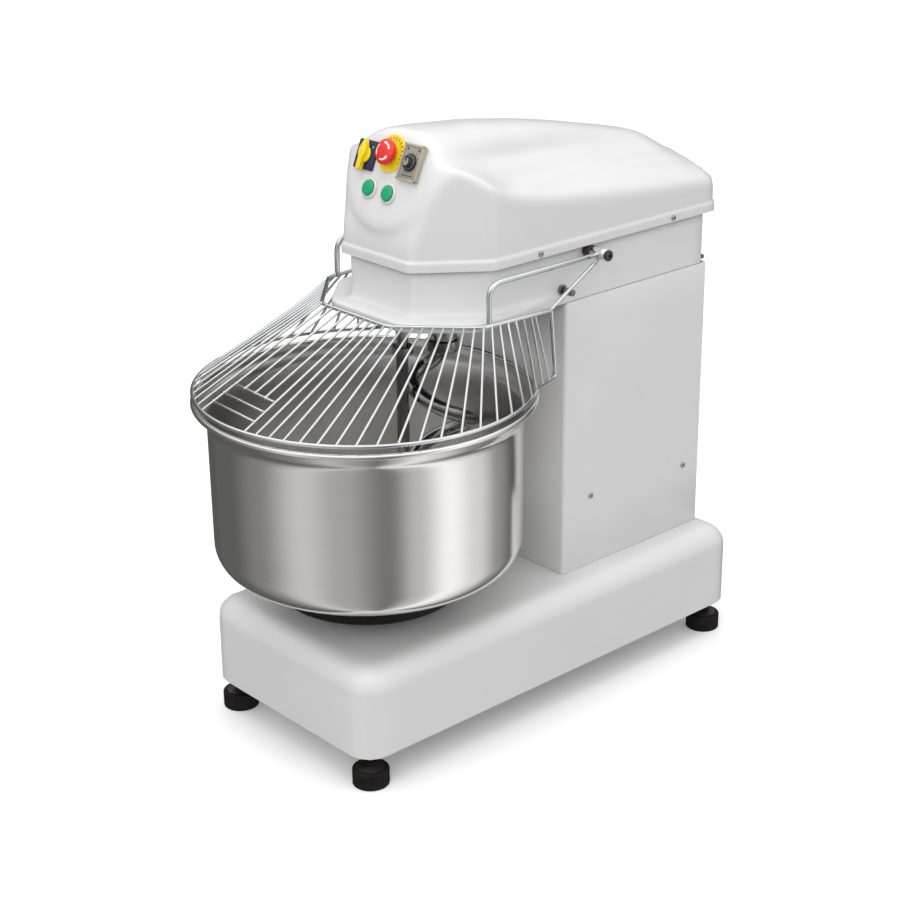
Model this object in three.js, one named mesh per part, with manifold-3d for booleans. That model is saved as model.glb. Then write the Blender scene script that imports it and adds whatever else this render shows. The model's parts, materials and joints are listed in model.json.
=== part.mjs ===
// A spiral dough mixer: a fixed head on a column, a turning bowl, a spiral hook, a wire guard.
// Millimetres, +Z up, X across, -Y towards the bowl. The origin is on the floor, under the middle.
import * as THREE from 'three';
import { mergeVertices } from 'three/addons/utils/BufferGeometryUtils.js';
import Module from 'manifold-3d';

const wasm = await Module();
wasm.setup();

// ---- Driving dimensions ----
const GAP = 0.3;
const BASE = { halfX: 185, front: -346, back: 430, bottom: 52, top: 187, corner: 45, fillet: 38, wall: 4 };
const BASE_PLATE = { bottom: 56, top: 62, inset: 9, corner: 36 };
const FOOT = { x: 156, frontY: -316, backY: 403, radius: 27, padHeight: 27, studRadius: 5, studTop: 74 };
const COLUMN = {
  halfX: 135, front: 91, back: 401, top: 625, wall: 2.5, opening: 110, sill: 215, lintel: 600,
};
const BOX = { inner: 60, along: [105, 225], height: [320, 500] };
const GLAND = { x: -80, z: 250 };
const REAR_PANEL = { halfX: 124, bottom: 203, top: 612, thickness: 2 };
const HEAD = {
  frontHalfX: 67.5, front: -146, cornerY: -60, halfX: 135, back: 401, bottom: 625.3, top: 708, wall: 3,
};
const BRIM = { top: 640, cove: 664 };
const FLOOR = { bottom: 630, top: 636 };
const LIP = { overhang: 12, bottom: 708.3, top: 724 };
const COVER_WALL = 5;
// Height of the middle, of the foot of the raised middle and of the shoulder, at places along Y.
const COVER_STATIONS = [
  [-160, 898, 858, 806], [-100, 898, 858, 820], [-40, 893, 850, 808], [60, 881, 838, 780],
  [140, 869, 822, 768], [240, 848, 800, 758], [330, 820, 776, 749], [402, 776, 750, 732],
];
const PANEL = { y: -117, z: 850, tilt: 23 };
// Places of the controls on the leaning panel: across, and up the slope.
const CONTROLS = {
  selector: [-54.5, -4], stop: [-6, 6], timer: [41.5, 0], start: [-30, -48], jog: [11, -49],
};
const BOWL = { y: -180, rim: 250, rimZ: 519, wall: 227, neckZ: 500, corner: 40, bottom: 260, sheet: 3 };
const BASE_SPINDLE = { radius: 20, bottom: 90, top: 232 };
const DRIVE_PLATE = {
  radius: 150, bottom: 243, top: 259.6, drum: 138, drumBottom: 215, hub: 92, hubBottom: 200,
};
const HOOK = { y: -30, turn: 50, bar: 11, top: 548, hubTop: 592, bottom: 276, shaft: 16 };
const BREAKER = { x: -4, y: -106, radius: 9, bottom: 290 };
const JACK = { y: 170, radius: 12.5, bottom: 70, top: 728 };
const MOTOR = { y: 325, radius: 68, bottom: 432, top: 629.7, spigot: 640, shaft: 9.5 };
const HOOK_BELT = { z: 683, radius: 62 };
const MOTOR_BELT = { z: 711, large: 118, small: 21 };
const CHAIN = { z: 108, large: 138, small: 20.6, width: 8 };
const GUARD = {
  barZ: 640, ringZ: 534, ring: 246, rod: 3, wire: 2, arm: 4, armX: 165,
  frontHalfX: 73, front: -197, sideX: 167, sideY: -108, endX: 177, endY: 18, ringEndX: 168, ringEndY: 37,
};
// Wires of the guard: their spacing on the top bar, and where they land on the ring, in degrees.
const WIRE = { first: 24, pitch: 14.1, firstAngle: -81.3, angleStep: 4.7, angleGrowth: 0.115, last: 18 };
// The loading slot lies between the first wire on the right and the first on the left.
const SLOT = { leftPlace: 1.6, cuts: 3, bars: [0.09, 0.17, 0.255] };
const HINGE = { y: 130, z: 698, hub: 9, bore: 5.5, inner: 150, outer: 178, pin: 5 };
const STOP = { y: 80, z: 648, radius: 5, length: 25 };
// Places of the side screws, along Y and up Z.
const COLUMN_SCREWS = [[150, 303], [362, 294]];
const LIP_SCREWS = [[26, 715], [305, 715]];
const SCREW = { radius: 4.5, head: 2.4 };

// ---- Materials ----
function material(color, roughness, metalness) {
  return new THREE.MeshStandardMaterial({ color, roughness, metalness });
}
const PAINT = material(0xe9ebec, 0.4, 0.0);
const STEEL = material(0xc9cbc8, 0.22, 1.0);
const CHROME = material(0xd8dadc, 0.12, 1.0);
const DARK = material(0x1c1d1f, 0.6, 0.3);
const IRON = material(0x55585c, 0.6, 0.7);
const RUBBER = material(0x17181a, 0.85, 0.0);
const ZINC = material(0xa5a8aa, 0.4, 0.9);
const NAVY = material(0x1d2438, 0.45, 0.0);
const YELLOW = material(0xf2d51a, 0.4, 0.0);
const RED = material(0xe0302c, 0.35, 0.0);
const GREEN = material(0x15a56a, 0.35, 0.0);
const BEIGE = material(0xb9ae97, 0.45, 0.0);
const BLUE_GREY = material(0x4d6278, 0.45, 0.2);

// ---- Booleans ----
function toSolid(geometry) {
  const bare = new THREE.BufferGeometry();
  bare.setAttribute('position', geometry.getAttribute('position').clone());
  if (geometry.getIndex()) {
    bare.setIndex(geometry.getIndex().clone());
  }
  const merged = mergeVertices(bare, 1e-4);
  const vertProperties = new Float32Array(merged.getAttribute('position').array);
  const triVerts = new Uint32Array(merged.getIndex().array);
  return new wasm.Manifold(new wasm.Mesh({ numProp: 3, vertProperties, triVerts }));
}

function toGeometry(solid) {
  const mesh = solid.getMesh();
  const geometry = new THREE.BufferGeometry();
  geometry.setAttribute('position', new THREE.BufferAttribute(new Float32Array(mesh.vertProperties), 3));
  geometry.setIndex(new THREE.BufferAttribute(new Uint32Array(mesh.triVerts), 1));
  geometry.computeVertexNormals();
  return geometry;
}

function join(...geometries) {
  const solids = geometries.map(toSolid);
  return toGeometry(solids.reduce((sum, solid) => sum.add(solid)));
}

function cut(body, ...tools) {
  const solids = tools.map(toSolid);
  return toGeometry(solids.reduce((rest, tool) => rest.subtract(tool), toSolid(body)));
}

function common(...geometries) {
  const solids = geometries.map(toSolid);
  return toGeometry(solids.reduce((rest, solid) => rest.intersect(solid)));
}

// ---- Shape helpers ----
function box(x0, x1, y0, y1, z0, z1) {
  const geometry = new THREE.BoxGeometry(x1 - x0, y1 - y0, z1 - z0);
  return geometry.translate((x0 + x1) / 2, (y0 + y1) / 2, (z0 + z1) / 2);
}

// A turned piece about a vertical axis; the profile is a list of [radius, height].
function turned(profile, sides = 12, x = 0, y = 0) {
  const points = profile.map(([radius, height]) => new THREE.Vector2(radius, height));
  const closed = profile[0][0] > 0 || profile[profile.length - 1][0] > 0;
  if (closed) {
    points.push(points[0].clone());
  }
  const geometry = new THREE.LatheGeometry(points, sides);
  geometry.rotateX(Math.PI / 2);
  geometry.translate(x, y, 0);
  return outward(geometry);
}

// Turns the faces of a closed geometry outwards when they point in.
function outward(geometry) {
  const position = geometry.getAttribute('position');
  const index = geometry.getIndex();
  const [a, b, c] = [new THREE.Vector3(), new THREE.Vector3(), new THREE.Vector3()];
  let volume = 0;
  for (let i = 0; i < index.count; i += 3) {
    a.fromBufferAttribute(position, index.getX(i));
    b.fromBufferAttribute(position, index.getX(i + 1));
    c.fromBufferAttribute(position, index.getX(i + 2));
    volume += a.dot(b.cross(c));
  }
  if (volume < 0) {
    for (let i = 0; i < index.count; i += 3) {
      const second = index.getX(i + 1);
      index.setX(i + 1, index.getX(i + 2));
      index.setX(i + 2, second);
    }
  }
  return geometry;
}

function disc(radius, z0, z1, x = 0, y = 0, sides = 12) {
  return turned([[0, z0], [radius, z0], [radius, z1], [0, z1]], sides, x, y);
}

// A cylinder along X between x0 and x1, centred on (y, z).
function crossPin(radius, x0, x1, y, z, sides = 12) {
  const geometry = new THREE.CylinderGeometry(radius, radius, Math.abs(x1 - x0), sides);
  return geometry.rotateZ(Math.PI / 2).translate((x0 + x1) / 2, y, z);
}

// A prism between two heights, from an outline of [x, y] points.
function prism(outline, z0, z1) {
  const shape = new THREE.Shape(outline.map(([x, y]) => new THREE.Vector2(x, y)));
  return new THREE.ExtrudeGeometry(shape, { depth: z1 - z0, bevelEnabled: false }).translate(0, 0, z0);
}

// The outline of a rectangle with round corners, counter-clockwise.
function roundedOutline(halfX, y0, y1, radius, steps = 5) {
  const centres = [[halfX - radius, y1 - radius], [radius - halfX, y1 - radius]];
  centres.push([radius - halfX, y0 + radius], [halfX - radius, y0 + radius]);
  const outline = [];
  centres.forEach(([x, y], quarter) => {
    for (let i = 0; i <= steps; i += 1) {
      const angle = (quarter + i / steps) * Math.PI / 2;
      outline.push([x + radius * Math.cos(angle), y + radius * Math.sin(angle)]);
    }
  });
  return outline;
}

// A closed skin over a stack of rings; each ring is a list of [x, y, z] with the same count.
function loft(rings) {
  const count = rings[0].length;
  const positions = rings.flat(2);
  const index = [];
  for (let level = 0; level < rings.length - 1; level += 1) {
    for (let i = 0; i < count; i += 1) {
      const next = (i + 1) % count;
      const low = level * count;
      const high = low + count;
      index.push(low + i, low + next, high + next, low + i, high + next, high + i);
    }
  }
  [0, rings.length - 1].forEach((level) => {
    const outline = rings[level].map(([x, y, z]) => new THREE.Vector3(x, y, z));
    const flat = outlineInItsPlane(outline);
    THREE.ShapeUtils.triangulateShape(flat, []).forEach(([a, b, c]) => {
      const order = level === 0 ? [a, c, b] : [a, b, c];
      index.push(...order.map((i) => level * count + i));
    });
  });
  const geometry = new THREE.BufferGeometry();
  geometry.setAttribute('position', new THREE.Float32BufferAttribute(positions, 3));
  geometry.setIndex(index);
  return outward(geometry);
}

// Drops the axis along which a planar outline has no extent.
function outlineInItsPlane(outline) {
  const size = new THREE.Box3().setFromPoints(outline).getSize(new THREE.Vector3());
  if (size.z < 1e-6) {
    return outline.map((point) => new THREE.Vector2(point.x, point.y));
  }
  return outline.map((point) => new THREE.Vector2(point.x, point.z));
}

// A straight round rod between two points.
function rod(from, to, radius, sides = 4) {
  const start = new THREE.Vector3(...from);
  const end = new THREE.Vector3(...to);
  const along = end.clone().sub(start);
  const geometry = new THREE.CylinderGeometry(radius, radius, along.length(), sides);
  const turn = new THREE.Quaternion().setFromUnitVectors(new THREE.Vector3(0, 1, 0), along.normalize());
  geometry.applyQuaternion(turn);
  return geometry.translate(...start.add(end).multiplyScalar(0.5).toArray());
}

// A round bar swept along a curve.
function swept(curve, radius, steps, sides = 8) {
  const points = [];
  for (let i = 0; i < sides; i += 1) {
    const angle = 2 * Math.PI * i / sides;
    points.push(new THREE.Vector2(radius * Math.cos(angle), radius * Math.sin(angle)));
  }
  const section = new THREE.Shape(points);
  const bar = new THREE.ExtrudeGeometry(section, { steps, extrudePath: curve, bevelEnabled: false });
  return outward(indexed(bar));
}

function indexed(geometry) {
  geometry.deleteAttribute('normal');
  geometry.deleteAttribute('uv');
  return mergeVertices(geometry, 1e-4);
}

function smoothCurve(points, tension = 0.5) {
  const path = points.map((point) => new THREE.Vector3(...point));
  return new THREE.CatmullRomCurve3(path, false, 'centripetal', tension);
}

// ---- The object and its groups ----
const mixer = new THREE.Group();

function place(name, geometry, finish, parent = mixer) {
  const mesh = new THREE.Mesh(geometry, finish);
  mesh.name = name;
  parent.add(mesh);
  return mesh;
}

// ---- Base ----
function baseOuter(inset) {
  const { halfX, front, back, bottom, top, corner, fillet } = BASE;
  const steps = 4;
  const rings = [];
  const level = (shrink, z) => {
    const radius = Math.max(corner - inset - shrink * 0.5, 8);
    const edge = inset + shrink;
    const outline = roundedOutline(halfX - edge, front + edge, back - edge, radius);
    rings.push(outline.map(([x, y]) => [x, y, z]));
  };
  level(0, inset > 0 ? bottom - 1 : bottom);
  for (let i = 0; i <= steps; i += 1) {
    const angle = i / steps * Math.PI / 2;
    level(fillet * (1 - Math.cos(angle)), top - inset - fillet * (1 - Math.sin(angle)));
  }
  return loft(rings);
}

function baseShell() {
  const spindleHole = disc(63, BASE.top - 20, BASE.top + 5, 0, BOWL.y, 24);
  const columnHole = box(-90, 90, 120, 370, BASE.top - 20, BASE.top + 5);
  return cut(baseOuter(0), baseOuter(BASE.wall), spindleHole, columnHole);
}

function basePlate() {
  const { bottom, top, inset, corner } = BASE_PLATE;
  const outline = roundedOutline(BASE.halfX - inset, BASE.front + inset, BASE.back - inset, corner, 3);
  const holes = footPlaces().map(([, x, y]) => disc(FOOT.studRadius + 0.6, bottom - 1, top + 1, x, y, 12));
  return cut(prism(outline, bottom, top), ...holes);
}

function footPlaces() {
  return [
    ['front_left', -FOOT.x, FOOT.frontY], ['front_right', FOOT.x, FOOT.frontY],
    ['rear_left', -FOOT.x, FOOT.backY], ['rear_right', FOOT.x, FOOT.backY],
  ];
}

function foot() {
  const { radius, padHeight, studRadius, studTop } = FOOT;
  const profile = [[0, 0], [radius, 0], [radius, padHeight - 2], [9, padHeight + 2], [9, padHeight + 9]];
  profile.push([studRadius, padHeight + 9], [studRadius, studTop], [0, studTop]);
  return turned(profile, 16);
}

place('base_shell', baseShell(), PAINT);
place('base_plate', basePlate(), IRON);
footPlaces().forEach(([where, x, y]) => {
  place(`levelling_foot_${where}`, foot(), RUBBER).position.set(x, y, 0);
});

// ---- Column ----
function columnShell() {
  const { halfX, front, back, top, wall, opening, sill, lintel } = COLUMN;
  const bottom = BASE.top + GAP;
  const outer = prism(roundedOutline(halfX, front, back, 8, 3), bottom, top);
  const inner = prism(roundedOutline(halfX - wall, front + wall, back - wall, 5.5, 3), bottom - 1, top + 1);
  const rear = box(-opening, opening, back - 10, back + 5, sill, lintel);
  const screws = [-1, 1].flatMap((side) => COLUMN_SCREWS.map(([y, z]) => (
    crossPin(2.3, side * (halfX - 6), side * (halfX + 2), y, z, 8))));
  return cut(outer, inner, rear, ...screws);
}

function rearPanel() {
  const { halfX, bottom, top, thickness } = REAR_PANEL;
  const y = COLUMN.back + GAP;
  const gland = new THREE.CylinderGeometry(8.3, 8.3, 20, 16).translate(GLAND.x, y, GLAND.z);
  const slots = [0, 1, 2, 3, 4, 5].map((row) => box(-45, 45, y - 5, y + 8, 480 + row * 16, 485 + row * 16));
  return cut(box(-halfX, halfX, y, y + thickness, bottom, top), gland, ...slots);
}

// A pan-head screw pointing along X, its head on the outside.
function sideScrew(side, y, z, shank) {
  const { radius, head } = SCREW;
  const faceX = side * (GAP + COLUMN.halfX);
  const body = crossPin(radius, faceX, faceX + side * head, y, z, 8);
  const stem = crossPin(2, faceX - side * shank, faceX + side * 0.5, y, z, 6);
  return join(body, stem);
}

place('column_shell', columnShell(), PAINT);
place('column_rear_panel', rearPanel(), PAINT);
[['right', 1], ['left', -1]].forEach(([label, side]) => {
  COLUMN_SCREWS.forEach(([y, z], i) => {
    place(`column_screw_${label}_${i + 1}`, sideScrew(side, y, z, 9), ZINC);
  });
});

// ---- Cable gland and electrical box ----
function cableGland() {
  const y = COLUMN.back + GAP + REAR_PANEL.thickness;
  const barrel = new THREE.CylinderGeometry(8, 8, 24, 16).translate(0, y - 10, 0);
  const nut = new THREE.CylinderGeometry(12, 12, 7, 6).translate(0, y + 3.8, 0);
  const dome = new THREE.CylinderGeometry(9.5, 7.5, 9, 16).rotateX(Math.PI).translate(0, y + 11.5, 0);
  const bore = new THREE.CylinderGeometry(4.5, 4.5, 60, 12).translate(0, y, 0);
  return cut(join(barrel, nut, dome), bore).translate(GLAND.x, 0, GLAND.z);
}

place('cable_gland', cableGland(), RUBBER);
const columnSkin = COLUMN.halfX - COLUMN.wall - GAP;
place('electrical_box', box(BOX.inner, columnSkin, ...BOX.along, ...BOX.height), DARK);

// ---- Head casing ----
// The head's plan: a narrow front, two slanted corners and long sides, grown by an offset.
function headOutline(offset) {
  const { frontHalfX, front, cornerY, halfX, back } = HEAD;
  const slant = Math.atan2(cornerY - front, halfX - frontHalfX);
  const frontX = frontHalfX + offset * Math.tan(slant / 2);
  const cornerShift = offset * Math.tan((Math.PI / 2 - slant) / 2);
  const edge = halfX + offset;
  const right = [[frontX, front - offset], [edge, cornerY - cornerShift], [edge, back + offset]];
  const left = right.map(([x, y]) => [-x, y]).reverse();
  return [...right, ...left];
}

// The flared brim at the foot of the casing runs out in front and fades into the sides.
function brimOutline() {
  const right = [[80, -177], [156, -97], [155, -40], [142, 40], [HEAD.halfX + 0.2, 68]];
  const left = right.map(([x, y]) => [-x, y]).reverse();
  return [...right, ...left];
}

function casingOutlineAtBrim() {
  const { frontHalfX, front, cornerY, halfX } = HEAD;
  const right = [[frontHalfX, front], [halfX, cornerY], [halfX, -40], [halfX, 40], [halfX, 68]];
  const left = right.map(([x, y]) => [-x, y]).reverse();
  return [...right, ...left];
}

function brim() {
  const { top, cove } = BRIM;
  const wide = brimOutline();
  const narrow = casingOutlineAtBrim();
  const blend = (share, z) => wide.map(([x, y], i) => [
    x + (narrow[i][0] - x) * share, y + (narrow[i][1] - y) * share, z]);
  return loft([blend(0.12, HEAD.bottom), blend(0, HEAD.bottom + 4), blend(0, top - 4), blend(0.12, top),
    blend(0.6, top + 7), blend(0.9, top + 15), blend(1, cove)]);
}

function headCasing() {
  const { bottom, top, wall, halfX } = HEAD;
  const outer = prism(headOutline(0), bottom, top);
  const inner = prism(headOutline(-wall), bottom - 5, top + 5);
  const pivots = [-1, 1].flatMap((side) => [
    crossPin(HINGE.pin + GAP, side * (halfX - 8), side * (halfX + 4), HINGE.y, HINGE.z),
    crossPin(STOP.radius - 2 + GAP, side * (halfX - 8), side * (halfX + 4), STOP.y, STOP.z),
  ]);
  return cut(join(outer, brim()), inner, ...pivots);
}

function headFloor() {
  const { bottom, top } = FLOOR;
  const plate = prism(headOutline(-HEAD.wall - GAP), bottom, top);
  const holes = [
    disc(36.8, bottom - 1, top + 1, 0, HOOK.y, 20),
    disc(20, bottom - 1, top + 1, 0, JACK.y),
    disc(32, bottom - 1, top + 1, 0, MOTOR.y, 16),
    disc(BREAKER.radius + GAP, bottom - 1, top + 1, BREAKER.x, BREAKER.y),
  ];
  return cut(plate, ...holes);
}

place('head_casing', headCasing(), PAINT);
place('head_floor', headFloor(), IRON);

// ---- Head cover ----
function coverSection([y, middle, foot, shoulder], inset) {
  const edge = HEAD.halfX - inset;
  const right = [
    [edge, LIP.bottom - inset], [edge, shoulder - inset], [edge - 5, shoulder + 10 - inset],
    [edge - 18, shoulder + 20 - inset], [84 - inset, foot - inset], [66 - inset, middle - 8 - inset],
    [0, middle - inset],
  ];
  const left = right.slice(0, -1).map(([x, z]) => [-x, z]).reverse();
  return [...right, ...left].map(([x, z]) => [x, y, z]);
}

// The side view of the cover: an upright front, a leaning panel, a long falling back.
function coverSide(inset) {
  const lean = Math.tan(PANEL.tilt * Math.PI / 180);
  const step = inset / Math.cos(PANEL.tilt * Math.PI / 180);
  const panelAt = (z) => PANEL.y + (z - PANEL.z) * lean + step;
  const front = HEAD.front - 1 + inset;
  const foldZ = PANEL.z + (front - step - PANEL.y) / lean;
  const profile = [
    [front, LIP.bottom - 10], [front, foldZ], [panelAt(880 - inset), 880 - inset],
    [-92 + inset * 0.6, 893 - inset], [-70, 899 - inset], [340, 860 - inset],
    [384 - inset, 800 - inset], [HEAD.back - inset, 762 - inset], [HEAD.back - inset, LIP.bottom - 10],
  ];
  const shape = new THREE.Shape(profile.map(([y, z]) => new THREE.Vector2(y, z)));
  const geometry = new THREE.ExtrudeGeometry(shape, { depth: 400, bevelEnabled: false });
  geometry.translate(0, 0, -200);
  return geometry.rotateX(Math.PI / 2).rotateZ(Math.PI / 2);
}

function coverBody(inset) {
  const sections = loft(COVER_STATIONS.map((station) => coverSection(station, inset)));
  const plan = prism(headOutline(-inset), LIP.bottom - inset, 920);
  return common(sections, plan, coverSide(inset));
}

function controlHoles() {
  const holes = [
    disc(5, -60, 60, ...CONTROLS.selector), disc(5, -60, 60, ...CONTROLS.timer),
    disc(11.8, -60, 60, ...CONTROLS.stop, 16), disc(11.8, -60, 60, ...CONTROLS.start, 16),
    disc(11.8, -60, 60, ...CONTROLS.jog, 16),
  ];
  return holes.map(ontoPanel);
}

// Moves a geometry from the panel's own plane to its place on the head.
function ontoPanel(geometry) {
  geometry.rotateX(Math.PI / 2 - PANEL.tilt * Math.PI / 180);
  return geometry.translate(0, PANEL.y, PANEL.z);
}

function headCover() {
  const lip = prism(headOutline(LIP.overhang), LIP.bottom, LIP.top);
  const screws = [-1, 1].flatMap((side) => LIP_SCREWS.map(([y, z]) => (
    crossPin(2.3, side * (HEAD.halfX - 8), side * (HEAD.halfX + 20), y, z, 8))));
  return cut(join(coverBody(0), lip), coverBody(COVER_WALL), ...controlHoles(), ...screws);
}

place('head_cover', headCover(), PAINT);
[['right', 1], ['left', -1]].forEach(([label, side]) => {
  LIP_SCREWS.forEach(([y, z], i) => {
    const screw = place(`cover_screw_${label}_${i + 1}`, sideScrew(side, y, z, 15), ZINC);
    screw.position.x = side * LIP.overhang;
  });
});

// ---- Bowl and its drive ----
function bowlProfile() {
  const { rim, rimZ, wall, neckZ, corner, bottom, sheet } = BOWL;
  const outer = [[0, bottom]];
  const inner = [[0, bottom + sheet]];
  for (let i = 0; i <= 4; i += 1) {
    const angle = i / 4 * Math.PI / 2;
    const reach = wall - corner;
    outer.push([reach + corner * Math.sin(angle), bottom + corner - corner * Math.cos(angle)]);
    const small = corner - sheet;
    inner.push([reach + small * Math.sin(angle), bottom + corner - small * Math.cos(angle)]);
  }
  outer.push([wall + 1, neckZ], [rim - 3, rimZ - 4], [rim, rimZ], [rim - 3, rimZ + 4]);
  inner.push([wall + 1 - sheet, neckZ], [rim - 8, rimZ + 1]);
  return [...outer, ...inner.reverse()];
}

function drivePlate() {
  const { radius, bottom, top, drum, drumBottom, hub, hubBottom } = DRIVE_PLATE;
  const bore = BASE_SPINDLE.radius + GAP;
  return turned([[bore, hubBottom], [hub, hubBottom], [hub, drumBottom], [drum, drumBottom],
    [drum, bottom], [radius, bottom], [radius, top], [bore, top]], 24);
}

function bowlBearing() {
  const bore = BASE_SPINDLE.radius + GAP;
  const under = BASE.top - BASE.wall - GAP;
  return turned([[bore, 138], [50, 138], [62, 150], [62, 168], [86, 168], [86, under], [62, under],
    [62, 195], [bore, 195]], 20, 0, BOWL.y);
}

function spindle() {
  const { radius, bottom, top } = BASE_SPINDLE;
  return turned([[0, bottom], [radius - 2, bottom], [radius, bottom + 2], [radius, top], [0, top]], 16);
}

// A toothed wheel: a turned hub and web with square teeth around the rim.
function sprocket(pitchRadius, teeth, bore, hub, hubBottom, hubTop, width) {
  const low = CHAIN.z - width / 2;
  const high = CHAIN.z + width / 2;
  const outline = [];
  for (let i = 0; i < teeth; i += 1) {
    [[-0.2, -3.5], [0.2, 1.5]].forEach(([share, reach]) => {
      const angle = 2 * Math.PI * (i + share) / teeth;
      outline.push([(pitchRadius + reach) * Math.cos(angle), (pitchRadius + reach) * Math.sin(angle)]);
    });
  }
  const wheel = join(prism(outline, low, high), disc(hub, hubBottom, hubTop));
  return cut(wheel, disc(bore, hubBottom - 5, hubTop + 5));
}

// A closed band around two wheels on the centre line, at yA in front and yB behind.
function band(yA, radiusA, yB, radiusB, clearance, thickness, z0, z1) {
  const loop = (extra) => {
    const [a, b] = [radiusA + extra, radiusB + extra];
    const lean = Math.asin((a - b) / (yB - yA));
    const behind = arcPoints(yB, b, lean, Math.PI - lean);
    return [...behind, ...arcPoints(yA, a, Math.PI - lean, 2 * Math.PI + lean)];
  };
  const outer = prism(loop(clearance + thickness), z0, z1);
  return cut(outer, prism(loop(clearance), z0 - 1, z1 + 1));
}

function arcPoints(y, radius, from, to) {
  const steps = Math.max(6, Math.round(Math.abs(to - from) / 0.25));
  const points = [];
  for (let i = 0; i <= steps; i += 1) {
    const angle = from + (to - from) * i / steps;
    points.push([radius * Math.cos(angle), y + radius * Math.sin(angle)]);
  }
  return points;
}

const bowlDrive = new THREE.Group();
bowlDrive.position.set(0, BOWL.y, 0);
mixer.add(bowlDrive);
place('bowl', turned(bowlProfile(), 40), STEEL, bowlDrive);
place('bowl_drive_plate', drivePlate(), DARK, bowlDrive);
place('bowl_spindle', spindle(), STEEL, bowlDrive);
place('bowl_sprocket', sprocket(CHAIN.large, 67, 21.2, 42, 94, 126, CHAIN.width), IRON, bowlDrive);
place('bowl_bearing', bowlBearing(), IRON);
place('bowl_chain', band(BOWL.y, CHAIN.large, JACK.y, CHAIN.small, 3.2, 6, CHAIN.z - 5, CHAIN.z + 5), IRON);

// ---- Jack shaft between the motor, the hook and the bowl ----
function jackPulley() {
  const bore = JACK.radius + GAP;
  const low = HOOK_BELT.z;
  const high = MOTOR_BELT.z;
  const [small, large] = [HOOK_BELT.radius, MOTOR_BELT.large];
  return turned([[bore, low - 11], [small + 5, low - 11], [small + 5, low - 8], [small, low - 5],
    [small, low + 5], [small + 5, low + 8], [small + 5, high - 11], [large + 5, high - 11],
    [large + 5, high - 8], [large, high - 5], [large, high + 5], [large + 5, high + 8],
    [large + 5, high + 11], [bore, high + 11]], 20, 0, JACK.y);
}

function hookPulley() {
  const bore = HOOK.shaft + GAP;
  const { z, radius } = HOOK_BELT;
  return turned([[bore, z - 11], [radius + 5, z - 11], [radius + 5, z - 8], [radius, z - 5],
    [radius, z + 5], [radius + 5, z + 8], [radius + 5, z + 11], [bore, z + 11]], 20, 0, HOOK.y);
}

function motorPulley() {
  const bore = MOTOR.shaft + GAP;
  const { z, small } = MOTOR_BELT;
  return turned([[bore, z - 14], [small + 4, z - 14], [small + 4, z - 8], [small, z - 5], [small, z + 5],
    [small + 4, z + 8], [small + 4, z + 11], [bore, z + 11]], 16, 0, MOTOR.y);
}

function bearing(outer, bore, flange, z0, flangeTop, z1, y) {
  return turned([[bore, z0], [flange, z0], [flange, flangeTop], [outer, flangeTop + 2], [outer, z1],
    [bore, z1]], 14, 0, y);
}

place('jack_shaft', disc(JACK.radius, JACK.bottom, JACK.top, 0, JACK.y), STEEL);
place('jack_sprocket', sprocket(CHAIN.small, 10, 13.3, 16, 92, 126, CHAIN.width), IRON).position.y = JACK.y;
place('jack_pulley', jackPulley(), IRON);
place('jack_lower_bearing', bearing(26, 13, 40, BASE_PLATE.top + GAP, 70, 86, JACK.y), IRON);
place('jack_upper_bearing', bearing(28, 13, 44, FLOOR.top + GAP, 645, 664, JACK.y), IRON);

// ---- Motor ----
function motorBody() {
  const { radius, bottom, top, spigot, shaft } = MOTOR;
  const fins = [];
  const count = 12;
  for (let i = 0; i < count; i += 1) {
    const fin = box(radius - 4, radius + 3, -1.5, 1.5, bottom + 12, top - 22);
    fins.push(fin.rotateZ(2 * Math.PI * i / count));
  }
  const bore = shaft + 0.5;
  const can = turned([[bore, bottom], [radius - 3, bottom], [radius - 3, bottom + 6], [radius, bottom + 6],
    [radius, top - 10], [radius + 2, top - 10], [radius + 2, top], [30, top], [30, spigot],
    [bore, spigot]], 24);
  return join(can, ...fins);
}

function fanCover() {
  const { radius, bottom } = MOTOR;
  const outer = radius + 3.5;
  return turned([[14, bottom - 62], [outer - 12, bottom - 62], [outer, bottom - 50], [outer, bottom + 4],
    [outer - 2, bottom + 4], [outer - 2, bottom - 49], [outer - 13, bottom - 60], [14, bottom - 60]], 24);
}

function motorShaft() {
  const { radius, bottom, shaft } = MOTOR;
  const fan = radius - 14;
  return turned([[0, bottom - 45], [fan, bottom - 45], [fan, bottom - 42], [shaft, bottom - 40],
    [shaft, MOTOR_BELT.z + 15], [0, MOTOR_BELT.z + 15]], 12);
}

const motor = new THREE.Group();
motor.position.set(0, MOTOR.y, 0);
mixer.add(motor);
place('motor_body', motorBody(), BLUE_GREY, motor);
place('motor_fan_cover', fanCover(), BLUE_GREY, motor);
place('motor_shaft', motorShaft(), STEEL, motor);
place('motor_pulley', motorPulley(), IRON);
place('motor_belt', band(JACK.y, MOTOR_BELT.large, MOTOR.y, MOTOR_BELT.small, 1.2, 3,
  MOTOR_BELT.z - 4, MOTOR_BELT.z + 4), RUBBER);
place('hook_belt', band(HOOK.y, HOOK_BELT.radius, JACK.y, HOOK_BELT.radius, 1.2, 3,
  HOOK_BELT.z - 4, HOOK_BELT.z + 4), RUBBER);

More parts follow.
